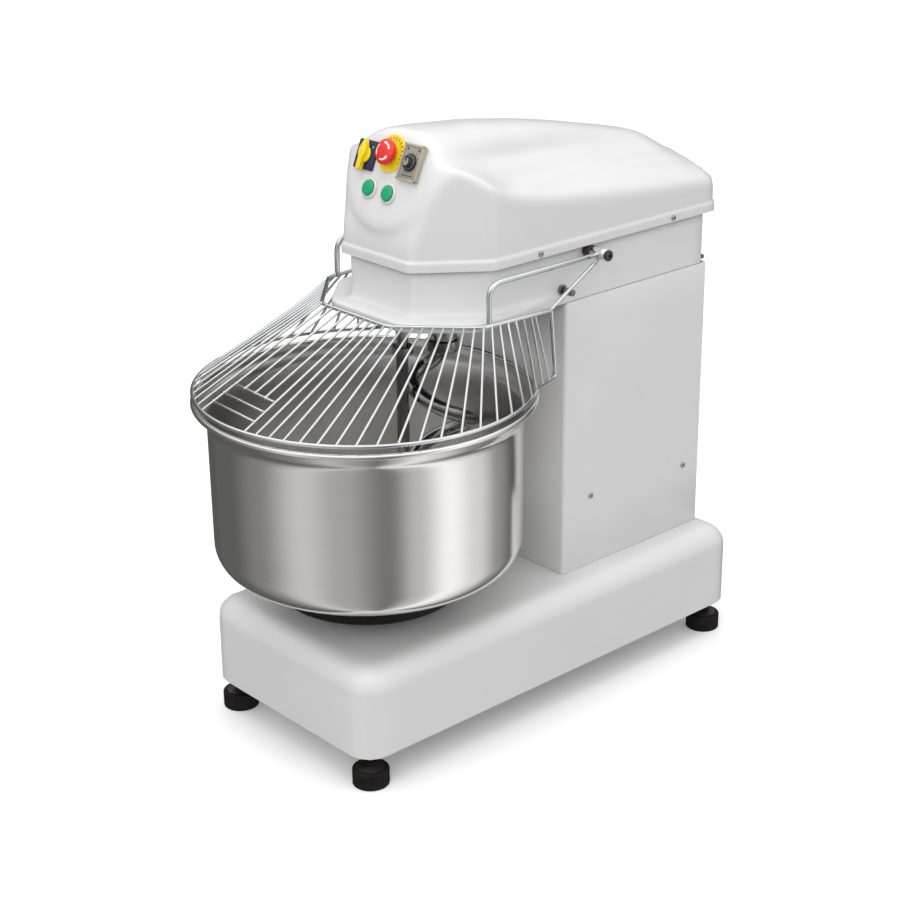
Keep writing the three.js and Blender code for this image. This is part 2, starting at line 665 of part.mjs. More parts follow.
// ---- Hook and breaker bar ----
function spiralHook() {
  const { turn, bar, top, hubTop, bottom, shaft } = HOOK;
  const points = [[0, 0, top + 6], [0, 0, top - 6]];
  const turns = 1.6;
  const steps = 26;
  const start = THREE.MathUtils.degToRad(190);
  for (let i = 0; i <= steps; i += 1) {
    const share = i / steps;
    const angle = start + share * turns * 2 * Math.PI;
    const grow = Math.min(1, 0.35 + share * 6);
    const shrink = share > 0.9 ? 1 - (share - 0.9) * 3 : 1;
    const reach = turn * grow * shrink;
    const z = THREE.MathUtils.lerp(top - 22, bottom + bar, share);
    points.push([reach * Math.cos(angle), reach * Math.sin(angle), z]);
  }
  const spiral = swept(smoothCurve(points), bar, 36, 6);
  const hub = turned([[0, top], [24, top], [25, top + 2], [25, hubTop], [shaft + GAP, hubTop],
    [shaft + GAP, top + 12], [0, top + 12]], 14);
  return join(spiral, hub);
}

function hookShaft() {
  const { shaft, top } = HOOK;
  const collar = HOOK.hubTop + 4;
  const foot = top + 12.5;
  return turned([[0, foot], [shaft, foot], [shaft, collar], [shaft + 4, collar],
    [shaft + 4, collar + 4], [shaft, collar + 4], [shaft, HOOK_BELT.z + 15], [0, HOOK_BELT.z + 15]], 14);
}

function hookBearing() {
  const bore = HOOK.shaft + 0.5;
  return turned([[bore, 603], [34, 603], [36, 606], [36, FLOOR.top + GAP], [60, FLOOR.top + GAP],
    [60, FLOOR.top + 9], [40, FLOOR.top + 11], [38, 668], [bore, 668]], 20, 0, HOOK.y);
}

function breakerBar() {
  const { radius, bottom } = BREAKER;
  return turned([[0, bottom], [radius - 3, bottom], [radius, bottom + 4], [radius, 627], [0, 627]], 16);
}

function breakerStud() {
  return join(disc(BREAKER.radius - 0.5, 627.3, 660, 0, 0, 12), disc(15, FLOOR.top + GAP, 648, 0, 0, 6));
}

const hook = new THREE.Group();
hook.position.set(0, HOOK.y, 0);
mixer.add(hook);
place('spiral_hook', spiralHook(), STEEL, hook);
place('hook_shaft', hookShaft(), STEEL, hook);
place('hook_pulley', hookPulley(), IRON);
place('hook_bearing', hookBearing(), IRON);
place('breaker_bar', breakerBar(), STEEL).position.set(BREAKER.x, BREAKER.y, 0);
place('breaker_bar_nut', breakerStud(), ZINC).position.set(BREAKER.x, BREAKER.y, 0);

// ---- Guard ----
// The top bar's corners on one side, from the middle of the front to the rear end.
function barCorners(side) {
  const { frontHalfX, front, sideX, sideY, endX, endY, barZ } = GUARD;
  return [[0, front], [frontHalfX, front], [sideX, sideY], [endX, endY]].map(([x, y]) => (
    new THREE.Vector3(side * x, y, barZ)));
}

// A point on the top bar, by its distance from the middle of the front.
function barPoint(side, distance) {
  const corners = barCorners(side);
  let left = distance;
  for (let i = 0; i < corners.length - 1; i += 1) {
    const length = corners[i].distanceTo(corners[i + 1]);
    if (left <= length || i === corners.length - 2) {
      return corners[i].clone().lerp(corners[i + 1], Math.min(left / length, 1)).toArray();
    }
    left -= length;
  }
  return corners[corners.length - 1].toArray();
}

function ringPoint(side, degrees) {
  const angle = THREE.MathUtils.degToRad(degrees);
  const { ring: radius, ringZ } = GUARD;
  return [side * radius * Math.cos(angle), BOWL.y + radius * Math.sin(angle), ringZ];
}

// The angle on the ring where a wire lands, by its place in the row.
function wireAngle(spot) {
  return WIRE.firstAngle + WIRE.angleStep * spot + WIRE.angleGrowth * spot * spot;
}

function wireEnds(side, spot) {
  return [barPoint(side, WIRE.first + WIRE.pitch * spot), ringPoint(side, wireAngle(spot))];
}

function between(from, to, share) {
  return from.map((value, i) => value + (to[i] - value) * share);
}

function guardWires() {
  const { wire } = GUARD;
  const wires = [];
  for (let spot = 0; spot <= WIRE.last; spot += 1) {
    wires.push(rod(...wireEnds(1, spot), wire));
  }
  for (let spot = SLOT.leftPlace; spot <= WIRE.last; spot += 1) {
    wires.push(rod(...wireEnds(-1, spot), wire));
  }
  const [rightTop, rightFoot] = wireEnds(1, 0);
  const [leftTop, leftFoot] = wireEnds(-1, SLOT.leftPlace);
  SLOT.bars.forEach((share) => {
    wires.push(rod(between(rightFoot, rightTop, share), between(leftFoot, leftTop, share), wire));
  });
  const reach = SLOT.bars[SLOT.bars.length - 1];
  for (let i = 1; i <= SLOT.cuts; i += 1) {
    const share = i / (SLOT.cuts + 1);
    const top = between(rightTop, leftTop, share);
    const foot = between(rightFoot, leftFoot, share);
    wires.push(rod(top, between(foot, top, reach), wire));
  }
  return wires;
}

function guardSide(side) {
  const { rod: thick, wire, arm, armX, ringEndX, ringEndY, ringZ, barZ } = GUARD;
  const corners = barCorners(side).map((corner) => corner.toArray());
  const pieces = [];
  for (let i = 0; i < corners.length - 1; i += 1) {
    pieces.push(rod(corners[i], corners[i + 1], thick, 6));
  }
  const ringStart = ringPoint(side, wireAngle(WIRE.last));
  const ringEnd = [side * ringEndX, ringEndY, ringZ];
  pieces.push(rod(ringStart, ringEnd, thick, 6));
  pieces.push(rod(ringEnd, corners[3], thick, 6));
  [0.35, 0.7].forEach((share) => {
    const top = barPoint(side, WIRE.first + WIRE.pitch * (WIRE.last + 1.4 * (share + 0.35)));
    pieces.push(rod(top, between(ringStart, ringEnd, share), wire));
  });
  const armPath = [
    [side * armX, HINGE.y - 6, HINGE.z], [side * armX, 20, HINGE.z], [side * armX, -72, HINGE.z],
    [side * armX, -86, HINGE.z - 5], [side * armX, -92, HINGE.z - 18], [side * (armX + 1), -92, barZ],
  ];
  pieces.push(swept(smoothCurve(armPath), arm, 12, 6));
  pieces.push(rod([side * (armX + 3), HINGE.y - 5, HINGE.z - 5], [side * 176, 16, barZ], 2.6, 6));
  pieces.push(crossPin(HINGE.hub, side * HINGE.inner, side * HINGE.outer, HINGE.y, HINGE.z, 20));
  return pieces;
}

function guardRing() {
  const points = [];
  const last = wireAngle(WIRE.last);
  const steps = 36;
  for (let i = 0; i <= steps; i += 1) {
    const angle = THREE.MathUtils.lerp(last, -180 - last, i / steps);
    points.push(ringPoint(1, angle));
  }
  return swept(smoothCurve(points), GUARD.rod, 30, 5);
}

function guardCage() {
  const bores = [-1, 1].map((side) => (
    crossPin(HINGE.bore, side * (HINGE.inner - 5), side * (HINGE.outer + 5), HINGE.y, HINGE.z, 20)));
  const cage = join(guardRing(), ...guardSide(1), ...guardSide(-1), ...guardWires());
  return cut(cage, ...bores);
}

function guardPivot(side) {
  const { pin, inner, outer, y, z } = HINGE;
  const skin = side * (HEAD.halfX + GAP);
  const shank = crossPin(pin, side * (HEAD.halfX - 12), side * (outer + 2), y, z);
  const collar = crossPin(9, skin, side * (inner - 1), y, z, 6);
  const cap = crossPin(8, side * (outer + 1), side * (outer + 5), y, z);
  return join(shank, collar, cap);
}

function guardStop(side) {
  const skin = side * (HEAD.halfX + GAP);
  const shank = crossPin(STOP.radius - 2, side * (HEAD.halfX - 10), skin + side * 1, STOP.y, STOP.z, 12);
  const nut = crossPin(8, skin, skin + side * 6, STOP.y, STOP.z, 6);
  const buffer = crossPin(STOP.radius, skin + side * 5, skin + side * STOP.length, STOP.y, STOP.z, 16);
  return join(shank, nut, buffer);
}

place('guard_cage', guardCage(), CHROME);
[['right', 1], ['left', -1]].forEach(([label, side]) => {
  place(`guard_pivot_${label}`, guardPivot(side), ZINC);
  place(`guard_stop_${label}`, guardStop(side), DARK);
});

// ---- Control panel, built flat and then leaned back ----
const panel = new THREE.Group();
panel.position.set(0, PANEL.y, PANEL.z);
panel.rotation.x = Math.PI / 2 - THREE.MathUtils.degToRad(PANEL.tilt);
mixer.add(panel);

function selectorPlate() {
  return cut(box(-20, 20, -21, 21, GAP, 5), disc(4.5, -5, 10, 0, 0, 12));
}

function selectorKnob() {
  const stem = disc(4, -8, 8, 0, 0, 12);
  const body = disc(12, 5.4, 12, 0, 0, 16);
  const lever = prism([[0, 21], [6, 12], [7, 2], [4.5, -8], [4.5, -24], [-4.5, -24], [-4.5, -8], [-7, 2],
    [-6, 12]], 8, 19);
  return join(stem, body, lever);
}

function stopCollar() {
  return turned([[7.6, -26], [11, -26], [11, GAP], [27, GAP], [27, 2.6], [15, 2.8], [15, 6], [7.6, 6]], 20);
}

function stopStem() {
  return disc(7, -22, 17, 0, 0, 16);
}

function stopHead() {
  return turned([[7.4, 11.5], [16, 11.5], [18.5, 14], [18.5, 18], [15, 22], [8, 24.5], [0, 25],
    [0, 17.4], [7.4, 17.4]], 16);
}

function timerPlate() {
  const bezel = box(-20, 20, -26, 26, GAP, 8);
  return cut(bezel, box(-17, 17, -23, 23, 6.5, 12), disc(4.4, -5, 12, 0, 0, 12));
}

function timerKnob() {
  const pointer = box(-1.5, 1.5, 0, 8, 14, 17.5);
  return join(disc(4, -8, 8, 0, 0, 12), disc(12.5, 7, 9.5, 0, 0, 16), disc(8, 9, 16, 0, 0, 12), pointer);
}

function buttonBezel() {
  return turned([[6.5, -28], [11, -28], [11, GAP], [15, GAP], [15, 5.5], [14, 7], [11.5, 7], [11.5, 2],
    [6.5, 2]], 16);
}

function buttonCap() {
  return turned([[0, -22], [6, -22], [6, 6.4], [11, 6.4], [11, 8.6], [9.5, 9.8], [0, 10]], 16);
}

function control(name, geometry, finish, [x, y]) {
  place(name, geometry, finish, panel).position.set(x, y, 0);
}

control('selector_plate', selectorPlate(), NAVY, CONTROLS.selector);
control('selector_knob', selectorKnob(), YELLOW, CONTROLS.selector);
control('stop_collar', stopCollar(), YELLOW, CONTROLS.stop);
control('stop_stem', stopStem(), DARK, CONTROLS.stop);
control('stop_head', stopHead(), RED, CONTROLS.stop);
control('timer_plate', timerPlate(), BEIGE, CONTROLS.timer);
control('timer_knob', timerKnob(), DARK, CONTROLS.timer);
['start', 'jog'].forEach((label) => {
  control(`${label}_button_bezel`, buttonBezel(), BEIGE, CONTROLS[label]);
  control(`${label}_button_cap`, buttonCap(), GREEN, CONTROLS[label]);
});

export default mixer;
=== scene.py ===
import json
from math import cos, pi, radians, sin, sqrt

import bpy
import numpy as np
from mathutils import Matrix, Vector


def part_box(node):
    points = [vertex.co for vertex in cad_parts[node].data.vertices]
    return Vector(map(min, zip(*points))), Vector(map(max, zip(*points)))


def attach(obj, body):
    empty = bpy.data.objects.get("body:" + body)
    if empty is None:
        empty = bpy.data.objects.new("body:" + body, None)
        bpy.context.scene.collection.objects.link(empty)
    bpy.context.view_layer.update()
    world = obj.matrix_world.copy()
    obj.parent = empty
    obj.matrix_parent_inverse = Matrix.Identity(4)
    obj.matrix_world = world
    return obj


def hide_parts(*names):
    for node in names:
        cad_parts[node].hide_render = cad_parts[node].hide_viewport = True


# The looks of a spiral dough mixer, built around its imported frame.
# Metres, with +Z up and the bowl towards -Y. The fields of the sheet parts work in millimetres.

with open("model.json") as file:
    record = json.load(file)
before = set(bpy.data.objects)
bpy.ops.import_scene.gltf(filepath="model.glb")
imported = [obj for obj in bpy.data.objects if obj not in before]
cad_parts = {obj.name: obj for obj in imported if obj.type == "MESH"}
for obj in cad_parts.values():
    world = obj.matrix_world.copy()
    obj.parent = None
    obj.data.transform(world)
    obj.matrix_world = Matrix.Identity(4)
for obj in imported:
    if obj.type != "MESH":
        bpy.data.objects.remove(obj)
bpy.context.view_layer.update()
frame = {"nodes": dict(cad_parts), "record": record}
NODES = frame["nodes"]
MM = 0.001
SIDES = ((1, "right"), (-1, "left"))


def low(node):
    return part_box(node)[0]


def high(node):
    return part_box(node)[1]


def middle(node):
    return (low(node) + high(node)) / 2


# ---- Camera ----
CAMERA_PLACE = Vector((2.0096, -1.8222, 1.4784))
CAMERA_AZIMUTH = radians(48.077)
CAMERA_ELEVATION = radians(22.033)
CAMERA_ROLL = radians(-0.549)
CAMERA_LENS = 77.0


def make_camera():
    """Stands where the photograph was taken from, with its slight roll."""
    data = bpy.data.cameras.new("camera")
    data.lens = CAMERA_LENS
    data.sensor_width = 36.0
    data.clip_start = 0.05
    data.clip_end = 60.0
    camera = bpy.data.objects.new("camera", data)
    bpy.context.scene.collection.objects.link(camera)
    a, e, r = CAMERA_AZIMUTH, CAMERA_ELEVATION, CAMERA_ROLL
    back = Vector((sin(a) * cos(e), -cos(a) * cos(e), sin(e)))
    right = Vector((cos(a), sin(a), 0))
    up = back.cross(right)
    rolled_right = cos(r) * right + sin(r) * up
    rolled_up = cos(r) * up - sin(r) * right
    turn = Matrix((rolled_right, rolled_up, back)).transposed()
    camera.matrix_world = Matrix.Translation(CAMERA_PLACE) @ turn.to_4x4()
    bpy.context.scene.camera = camera


make_camera()


# ---- Material tools ----
LOOKS = {}


def new_material(name):
    """A material's node tree and its shader; LOOKS keeps the material under its name."""
    made = bpy.data.materials.new(name)
    made.use_nodes = True
    LOOKS[name] = made
    return made.node_tree, made.node_tree.nodes["Principled BSDF"]


def set_inputs(node, values):
    for name, value in values.items():
        node.inputs[name].default_value = value


def texture_space(tree, stretch=(1, 1, 1)):
    """Object coordinates in metres, stretched along each axis."""
    coordinates = tree.nodes.new("ShaderNodeTexCoord")
    mapping = tree.nodes.new("ShaderNodeMapping")
    mapping.inputs["Scale"].default_value = stretch
    tree.links.new(coordinates.outputs["Object"], mapping.inputs["Vector"])
    return mapping.outputs["Vector"]


def noise(tree, space, scale, detail=3.0, rough=0.55):
    node = tree.nodes.new("ShaderNodeTexNoise")
    set_inputs(node, {"Scale": scale, "Detail": detail, "Roughness": rough})
    tree.links.new(space, node.inputs["Vector"])
    return node.outputs["Fac"]


def ranged(tree, value, to_low, to_high, from_low=0.3, from_high=0.7):
    node = tree.nodes.new("ShaderNodeMapRange")
    set_inputs(node, {"From Min": from_low, "From Max": from_high, "To Min": to_low, "To Max": to_high})
    tree.links.new(value, node.inputs["Value"])
    return node.outputs["Result"]


def tint(tree, surface, value, dark, light):
    """Colours a surface between two tones."""
    ramp = tree.nodes.new("ShaderNodeValToRGB")
    for element, place, tone in zip(ramp.color_ramp.elements, (0.3, 0.7), (dark, light)):
        element.position = place
        element.color = (*tone, 1)
    tree.links.new(value, ramp.inputs["Fac"])
    tree.links.new(ramp.outputs["Color"], surface.inputs["Base Color"])
    return ramp.outputs["Color"]


def bump(tree, surface, value, strength, depth):
    node = tree.nodes.new("ShaderNodeBump")
    set_inputs(node, {"Strength": strength, "Distance": depth})
    tree.links.new(value, node.inputs["Height"])
    tree.links.new(node.outputs["Normal"], surface.inputs["Normal"])


def shade(colour, factor):
    return tuple(min(1.0, channel * factor) for channel in colour)


def mottled(name, colour, tones, spots, gloss, tooth, settings, smears=None):
    """Tone and gloss that drift with soft spots, over the fine bump of tooth.
    Where smears is given, the gloss follows that noise instead of the spots."""
    tree, surface = new_material(name)
    space = texture_space(tree)
    patches = noise(tree, space, *spots)
    tint(tree, surface, patches, shade(colour, tones[0]), shade(colour, tones[1]))
    drift = noise(tree, space, *smears) if smears else patches
    tree.links.new(ranged(tree, drift, *gloss), surface.inputs["Roughness"])
    scale, detail, strength, depth = tooth
    bump(tree, surface, noise(tree, space, scale, detail), strength, depth)
    set_inputs(surface, settings)


METAL = {"Metallic": 1.0}
DULL = {"Specular IOR Level": 0.15}
CLEAR_COAT = {"Coat Weight": 0.25, "Coat Roughness": 0.16}


def paint(name, colour, roughness=0.36, peel=0.06):
    """Sprayed enamel: faint clouding, orange peel, a thin clear coat."""
    gloss = roughness - 0.04, roughness + 0.06
    tooth = 520.0, 2.0, peel, 0.0004
    mottled(name, colour, (0.975, 1.015), (7.0, 4.0), gloss, tooth, CLEAR_COAT, (38.0, 3.0))


def chrome(name, colour, roughness):
    """Bright plating with faint dulled patches."""
    gloss = roughness * 0.7, roughness * 1.5
    mottled(name, colour, (0.92, 1.03), (30.0, 4.0), gloss, (260.0, 2.0, 0.03, 0.0002), METAL)


def rough_metal(name, colour, roughness, grain=0.25, scale=420.0, metallic=0.85):
    """Cast, machined or blackened metal with a visible grain."""
    gloss = roughness - 0.1, roughness + 0.1
    settings = {"Metallic": metallic, **DULL}
    mottled(name, colour, (0.78, 1.2), (45.0, 5.0), gloss, (scale, 4.0, grain, 0.0005), settings)


def rubber(name, colour, roughness=0.72):
    """Dusty black rubber with a fine tooth."""
    gloss = roughness - 0.08, roughness + 0.1
    mottled(name, colour, (0.75, 1.5), (60.0, 5.0), gloss, (900.0, 3.0, 0.25, 0.0003), DULL)


def moulded(name, colour, roughness, grain=0.08):
    """Moulded plastic: a fine spark-eroded grain and slight shade changes."""
    gloss = roughness - 0.04, roughness + 0.05
    mottled(name, colour, (0.92, 1.06), (90.0, 3.0), gloss, (1500.0, 2.0, grain, 0.0002), {})


TURNED_LINES = (4, 4, 160)


def turned_steel(name, colour, roughness, line, stretch=TURNED_LINES):
    """Steel with fine lines across the axis that stretch squeezes most."""
    tree, surface = new_material(name)
    lines = noise(tree, texture_space(tree, stretch), 1.0, 1.0, 0.5)
    tint(tree, surface, lines, shade(colour, 0.985), shade(colour, 1.01))
    smears = noise(tree, texture_space(tree, (9, 9, 5)), 1.0, 3.0)
    gloss = ranged(tree, smears, roughness * 0.9, roughness * 1.15)
    tree.links.new(gloss, surface.inputs["Roughness"])
    bump(tree, surface, lines, line, 0.0001)
    set_inputs(surface, METAL)


paint("white_paint", (0.72, 0.72, 0.72))
paint("cover_paint", (0.69, 0.69, 0.69), 0.36, 0.04)
turned_steel("stainless", (0.86, 0.85, 0.82), 0.15, 0.01)
chrome("guard_chrome", (0.76, 0.77, 0.78), 0.08)
chrome("zinc", (0.42, 0.43, 0.44), 0.22)
rough_metal("black_steel", (0.009, 0.009, 0.01), 0.55, 0.12, 700.0, 0.0)
rubber("foot_rubber", (0.011, 0.011, 0.011))
turned_steel("machined_steel", (0.55, 0.55, 0.55), 0.28, 0.1, (6, 6, 900))
rough_metal("cast_iron", (0.16, 0.165, 0.17), 0.55)
rubber("belt_rubber", (0.03, 0.03, 0.03), 0.8)
paint("motor_paint", (0.10, 0.16, 0.22), 0.42, 0.15)
moulded("black_plastic", (0.02, 0.02, 0.022), 0.4)
moulded("navy_plastic", (0.018, 0.024, 0.06), 0.42)
moulded("yellow_plastic", (0.86, 0.66, 0.01), 0.34, 0.04)
moulded("red_plastic", (0.78, 0.025, 0.02), 0.28, 0.03)
moulded("beige_plastic", (0.44, 0.38, 0.29), 0.4)
moulded("bezel_plastic", (0.66, 0.66, 0.62), 0.26, 0.03)
moulded("green_plastic", (0.005, 0.36, 0.15), 0.3, 0.03)
# Looks that are not slots of the record; their pieces pass a slot name that is not used.
# The inside of the bowl: the stainless made darker and duller, as painted shade for the bowl's dark
# inside.
turned_steel("bowl_inside_shaded", (0.72, 0.71, 0.68), 0.31, 0.01)
# Stainless made much darker: painted shade on the hook, its spindle and the breaker bar.
turned_steel("shaded_stainless", (0.30, 0.30, 0.29), 0.16, 0.02, (60, 60, 9))
chrome("dark_zinc", (0.22, 0.22, 0.22), 0.2)
rough_metal("brown_steel", (0.10, 0.085, 0.07), 0.45, 0.2)
moulded("white_mark", (0.85, 0.85, 0.85), 0.35)
moulded("grey_face", (0.30, 0.28, 0.24), 0.38)
moulded("dark_mark", (0.05, 0.04, 0.02), 0.45)


# ---- Mesh tools ----
def piece(name, mesh_data, look, smooth_angle=35.0):
    """An object of its own from vertices and faces."""
    vertices, faces = mesh_data
    mesh = bpy.data.meshes.new(name)
    mesh.from_pydata([tuple(v) for v in vertices], [], faces)
    mesh.validate()
    mesh.update()
    mesh.polygons.foreach_set("use_smooth", [True] * len(mesh.polygons))
    mesh.set_sharp_from_angle(angle=radians(smooth_angle))
    mesh.materials.append(LOOKS[look])
    made = bpy.data.objects.new(name, mesh)
    bpy.context.scene.collection.objects.link(made)
    return made


def fitted(name, mesh_data, look, smooth_angle, body, *nodes, slot="", sheet=0):
    """A piece with its body and the CAD nodes that it stands for.
    slot is not used; sheet thickens an open skin inwards."""
    made = piece(name, mesh_data, look, smooth_angle)
    if sheet:
        solid = made.modifiers.new("thickness", "SOLIDIFY")
        solid.thickness = sheet
        solid.offset = -1.0
        solid.use_even_offset = False
    slot = slot or look
    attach(made, body)
    if nodes:
        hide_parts(*nodes)


def rings_mesh(rings, closed_ends=(False, False)):
    """Vertices and faces of a skin over rings of equal length."""
    count = len(rings[0])
    vertices = [point for ring in rings for point in ring]
    faces = []
    for level in range(len(rings) - 1):
        base = level * count
        for i in range(count):
            j = (i + 1) % count
            faces.append((base + i, base + j, base + count + j, base + count + i))
    if closed_ends[0]:
        faces.append(tuple(reversed(range(count))))
    if closed_ends[1]:
        faces.append(tuple(range((len(rings) - 1) * count, len(rings) * count)))
    return vertices, faces


def polar(reach, angle, z):
    return Vector((reach * cos(angle), reach * sin(angle), z))


def circle(radius, z, steps):
    return [polar(radius, 2 * pi * k / steps, z) for k in range(steps)]


def merged(parts):
    """One mesh's vertices and faces from several."""
    vertices = []
    faces = []
    for part_vertices, part_faces in parts:
        start = len(vertices)
        vertices.extend(part_vertices)
        faces.extend(tuple(i + start for i in face) for face in part_faces)
    return vertices, faces


def lathe(profile, sides=64, place=(0, 0, 0), turn=None, wave=None):
    """A turned skin from [radius, height] points; a radius of 0 closes an end.
    wave(angle, radius, height) returns a changed radius."""
    rings = []
    for radius, height in profile:
        ring = []
        for i in range(sides):
            angle = 2 * pi * i / sides
            reach = wave(angle, radius, height) if wave else radius
            ring.append(polar(reach, angle, height))
        rings.append(ring)
    vertices, faces = rings_mesh(rings)
    if profile[0][0] > 0 and profile[0] == profile[-1]:
        count = len(vertices) - sides
        faces = [tuple(i % count if i >= count else i for i in face) for face in faces]
        vertices = vertices[:count]
    matrix = (turn or Matrix.Identity(4)).copy()
    matrix.translation = Vector(place)
    return weld([matrix @ v for v in vertices], faces)


def weld(vertices, faces, near=1e-6):
    """Joins vertices that lie together and drops faces that this empties."""
    index = {}
    kept = []
    new_place = []
    for vertex in vertices:
        key = tuple(round(c / near) for c in vertex)
        if key not in index:
            index[key] = len(kept)
            kept.append(vertex)
        new_place.append(index[key])
    clean = []
    for face in faces:
        corners = []
        for i in face:
            if new_place[i] not in corners:
                corners.append(new_place[i])
        if len(corners) > 2:
            clean.append(tuple(corners))
    return kept, clean


def arc(centre, radius, start, end, steps):
    """Points of an arc in a profile, in degrees from the first axis."""
    points = []
    for i in range(steps + 1):
        angle = radians(start + (end - start) * i / steps)
        points.append((centre[0] + radius * cos(angle), centre[1] + radius * sin(angle)))
    return points


def tube(points, radius, sides=12, taper=None):
    """A round bar along points, with domed ends; taper(share) scales its radius."""
    points = [Vector(p) for p in points]
    count = len(points)
    tangents = []
    for i in range(count):
        before = points[max(i - 1, 0)]
        after = points[min(i + 1, count - 1)]
        tangents.append((after - before).normalized())
    normal = tangents[0].orthogonal().normalized()
    stations = []
    for i in range(count):
        normal = (normal - normal.dot(tangents[i]) * tangents[i]).normalized()
        reach = radius * (taper(i / (count - 1)) if taper else 1.0)
        stations.append((points[i], normal.copy(), tangents[i].cross(normal), reach, tangents[i]))
    stations = dome(stations[0], -1) + stations + dome(stations[-1], 1)
    turns = [2 * pi * k / sides for k in range(sides)]
    rings = []
    for centre, across, over, reach, _ in stations:
        rings.append([centre + reach * (cos(a) * across + sin(a) * over) for a in turns])
    return rings_mesh(rings, (True, True))


def dome(station, way):
    """Shrinking rings that round off one end of a bar."""
    centre, across, over, reach, tangent = station
    made = []
    for share in (0.45, 0.8, 0.97):
        moved = centre + way * tangent * reach * 0.6 * share
        made.append((moved, across, over, reach * sqrt(1 - share * share), tangent))
    return made if way > 0 else made[::-1]


def rounded_path(corners, radius, steps=7):
    """A path through corners, each turned into an arc-like bend."""
    corners = [Vector(c) for c in corners]
    path = [corners[0]]
    for i in range(1, len(corners) - 1):
        before, here, after = corners[i - 1:i + 2]
        reach = min(radius, (before - here).length * 0.48, (after - here).length * 0.48)
        start = here + (before - here).normalized() * reach
        end = here + (after - here).normalized() * reach
        for k in range(steps + 1):
            t = k / steps
            path.append((1 - t) ** 2 * start + 2 * t * (1 - t) * here + t * t * end)
    path.append(corners[-1])
    return path


def slab_ring(half_x, half_y, corner, inset, z, steps, centre=(0, 0)):
    """A rectangle with round corners, drawn in by inset."""
    radius = max(corner - inset, corner * 0.3)
    ring = []
    for quarter, (sx, sy) in enumerate(((1, 1), (-1, 1), (-1, -1), (1, -1))):
        cx = centre[0] + sx * (half_x - inset - radius)
        cy = centre[1] + sy * (half_y - inset - radius)
        for k in range(steps + 1):
            angle = (quarter + k / steps) * pi / 2
            ring.append(Vector((cx, cy, 0)) + polar(radius, angle, z))
    return ring


def rounded_slab(half_x, half_y, z0, z1, corner, edge, steps=6, centre=(0, 0)):
    """A flat slab with round corners and softened top and bottom edges."""
    levels = [(edge, z0), (edge * 0.3, z0 + edge * 0.3), (0, z0 + edge)]
    levels += [(0, z1 - edge), (edge * 0.3, z1 - edge * 0.3), (edge, z1)]
    rings = [slab_ring(half_x, half_y, corner, inset, z, steps, centre) for inset, z in levels]
    return rings_mesh(rings, (True, True))


# ---- Fields, in millimetres: negative inside, positive outside ----
def soft_max(a, b, blend):
    """The larger of two fields, with the edge between them rounded off."""
    near = np.maximum(blend - np.abs(a - b), 0.0) / blend
    return np.maximum(a, b) + near ** 3 * blend / 6.0


def soft_min(a, b, blend):
    """The smaller of two fields, with a fillet where they meet."""
    return -soft_max(-a, -b, blend)


def eased(value, places, heights):
    """A smooth curve through stations, held flat beyond its ends."""
    places = np.array(places, float)
    heights = np.array(heights, float)
    slopes = np.gradient(heights, places)
    i = np.clip(np.searchsorted(places, value) - 1, 0, len(places) - 2)
    step = places[i + 1] - places[i]
    t = np.clip((value - places[i]) / step, 0.0, 1.0)
    rise = (2 * t ** 3 - 3 * t ** 2 + 1) * heights[i] + (3 * t ** 2 - 2 * t ** 3) * heights[i + 1]
    bend = (t ** 3 - 2 * t ** 2 + t) * slopes[i] + (t ** 3 - t ** 2) * slopes[i + 1]
    return rise + bend * step


def edge_line(ax, y, first, second):
    """The distance outside a straight plan edge that runs from first to second, front to back."""
    along = np.array(second, float) - np.array(first, float)
    along /= np.linalg.norm(along)
    return along[1] * (ax - first[0]) - along[0] * (y - first[1])


HEAD_HALF = high("column_shell").x / MM
HEAD_FRONT = -146.0
HEAD_NOSE = 67.5
HEAD_CORNER = -60.0
HEAD_BACK = high("head_casing").y / MM


def head_plan(x, y, corner, back_corner):
    """The plan of the head: a narrow front, slanted corners and long sides."""
    ax = np.abs(x)
    slant = edge_line(ax, y, (HEAD_NOSE, HEAD_FRONT), (HEAD_HALF, HEAD_CORNER))
    field = soft_max(HEAD_FRONT - y, slant, corner)
    field = soft_max(field, ax - HEAD_HALF, corner)
    return soft_max(field, y - HEAD_BACK, back_corner)


RAY_LENGTH = 520.0
RAY_HALVINGS = 34


def surface_hits(field, origins, directions):
    """Where rays that start inside a field leave it."""
    near = np.full(len(origins), 1.0)
    out = np.full(len(origins), RAY_LENGTH)
    for _ in range(RAY_HALVINGS):
        mid = (near + out) / 2
        points = origins + directions * mid[:, None]
        inside = field(points[:, 0], points[:, 1], points[:, 2]) < 0
        near = np.where(inside, mid, near)
        out = np.where(inside, out, mid)
    return origins + directions * ((near + out) / 2)[:, None]


def spine_rays(front, back, side_step, front_count, back_count):
    """Starting points and plan directions all round a straight spine along Y."""
    starts = []
    ways = []
    places = np.linspace(back, front, max(2, int(round((back - front) / side_step)) + 1))
    for y in places[:-1]:
        starts.append((0, y))
        ways.append((1, 0))
    for k in range(front_count):
        angle = pi * k / front_count
        starts.append((0, front))
        ways.append((cos(angle), -sin(angle)))
    for y in places[::-1][:-1]:
        starts.append((0, y))
        ways.append((-1, 0))
    for k in range(back_count):
        angle = pi * k / back_count
        starts.append((0, back))
        ways.append((-cos(angle), sin(angle)))
    return np.array(starts[::-1], float), np.array(ways[::-1], float)


def star_rings(field, spine, levels, core_z, climbs):
    """Rings of a field: level cuts at some heights, then rays that climb from core_z to the top."""
    starts, ways = spine
    rings = []
    for z in levels:
        origins = np.column_stack([starts, np.full(len(starts), z)])
        directions = np.column_stack([ways, np.zeros(len(ways))])
        rings.append(surface_hits(field, origins, directions))
    for climb in climbs:
        origins = np.column_stack([starts, np.full(len(starts), core_z)])
        directions = np.column_stack([ways * cos(climb), np.full(len(ways), sin(climb))])
        rings.append(surface_hits(field, origins, directions))
    return [[Vector(point) * MM for point in ring] for ring in rings]


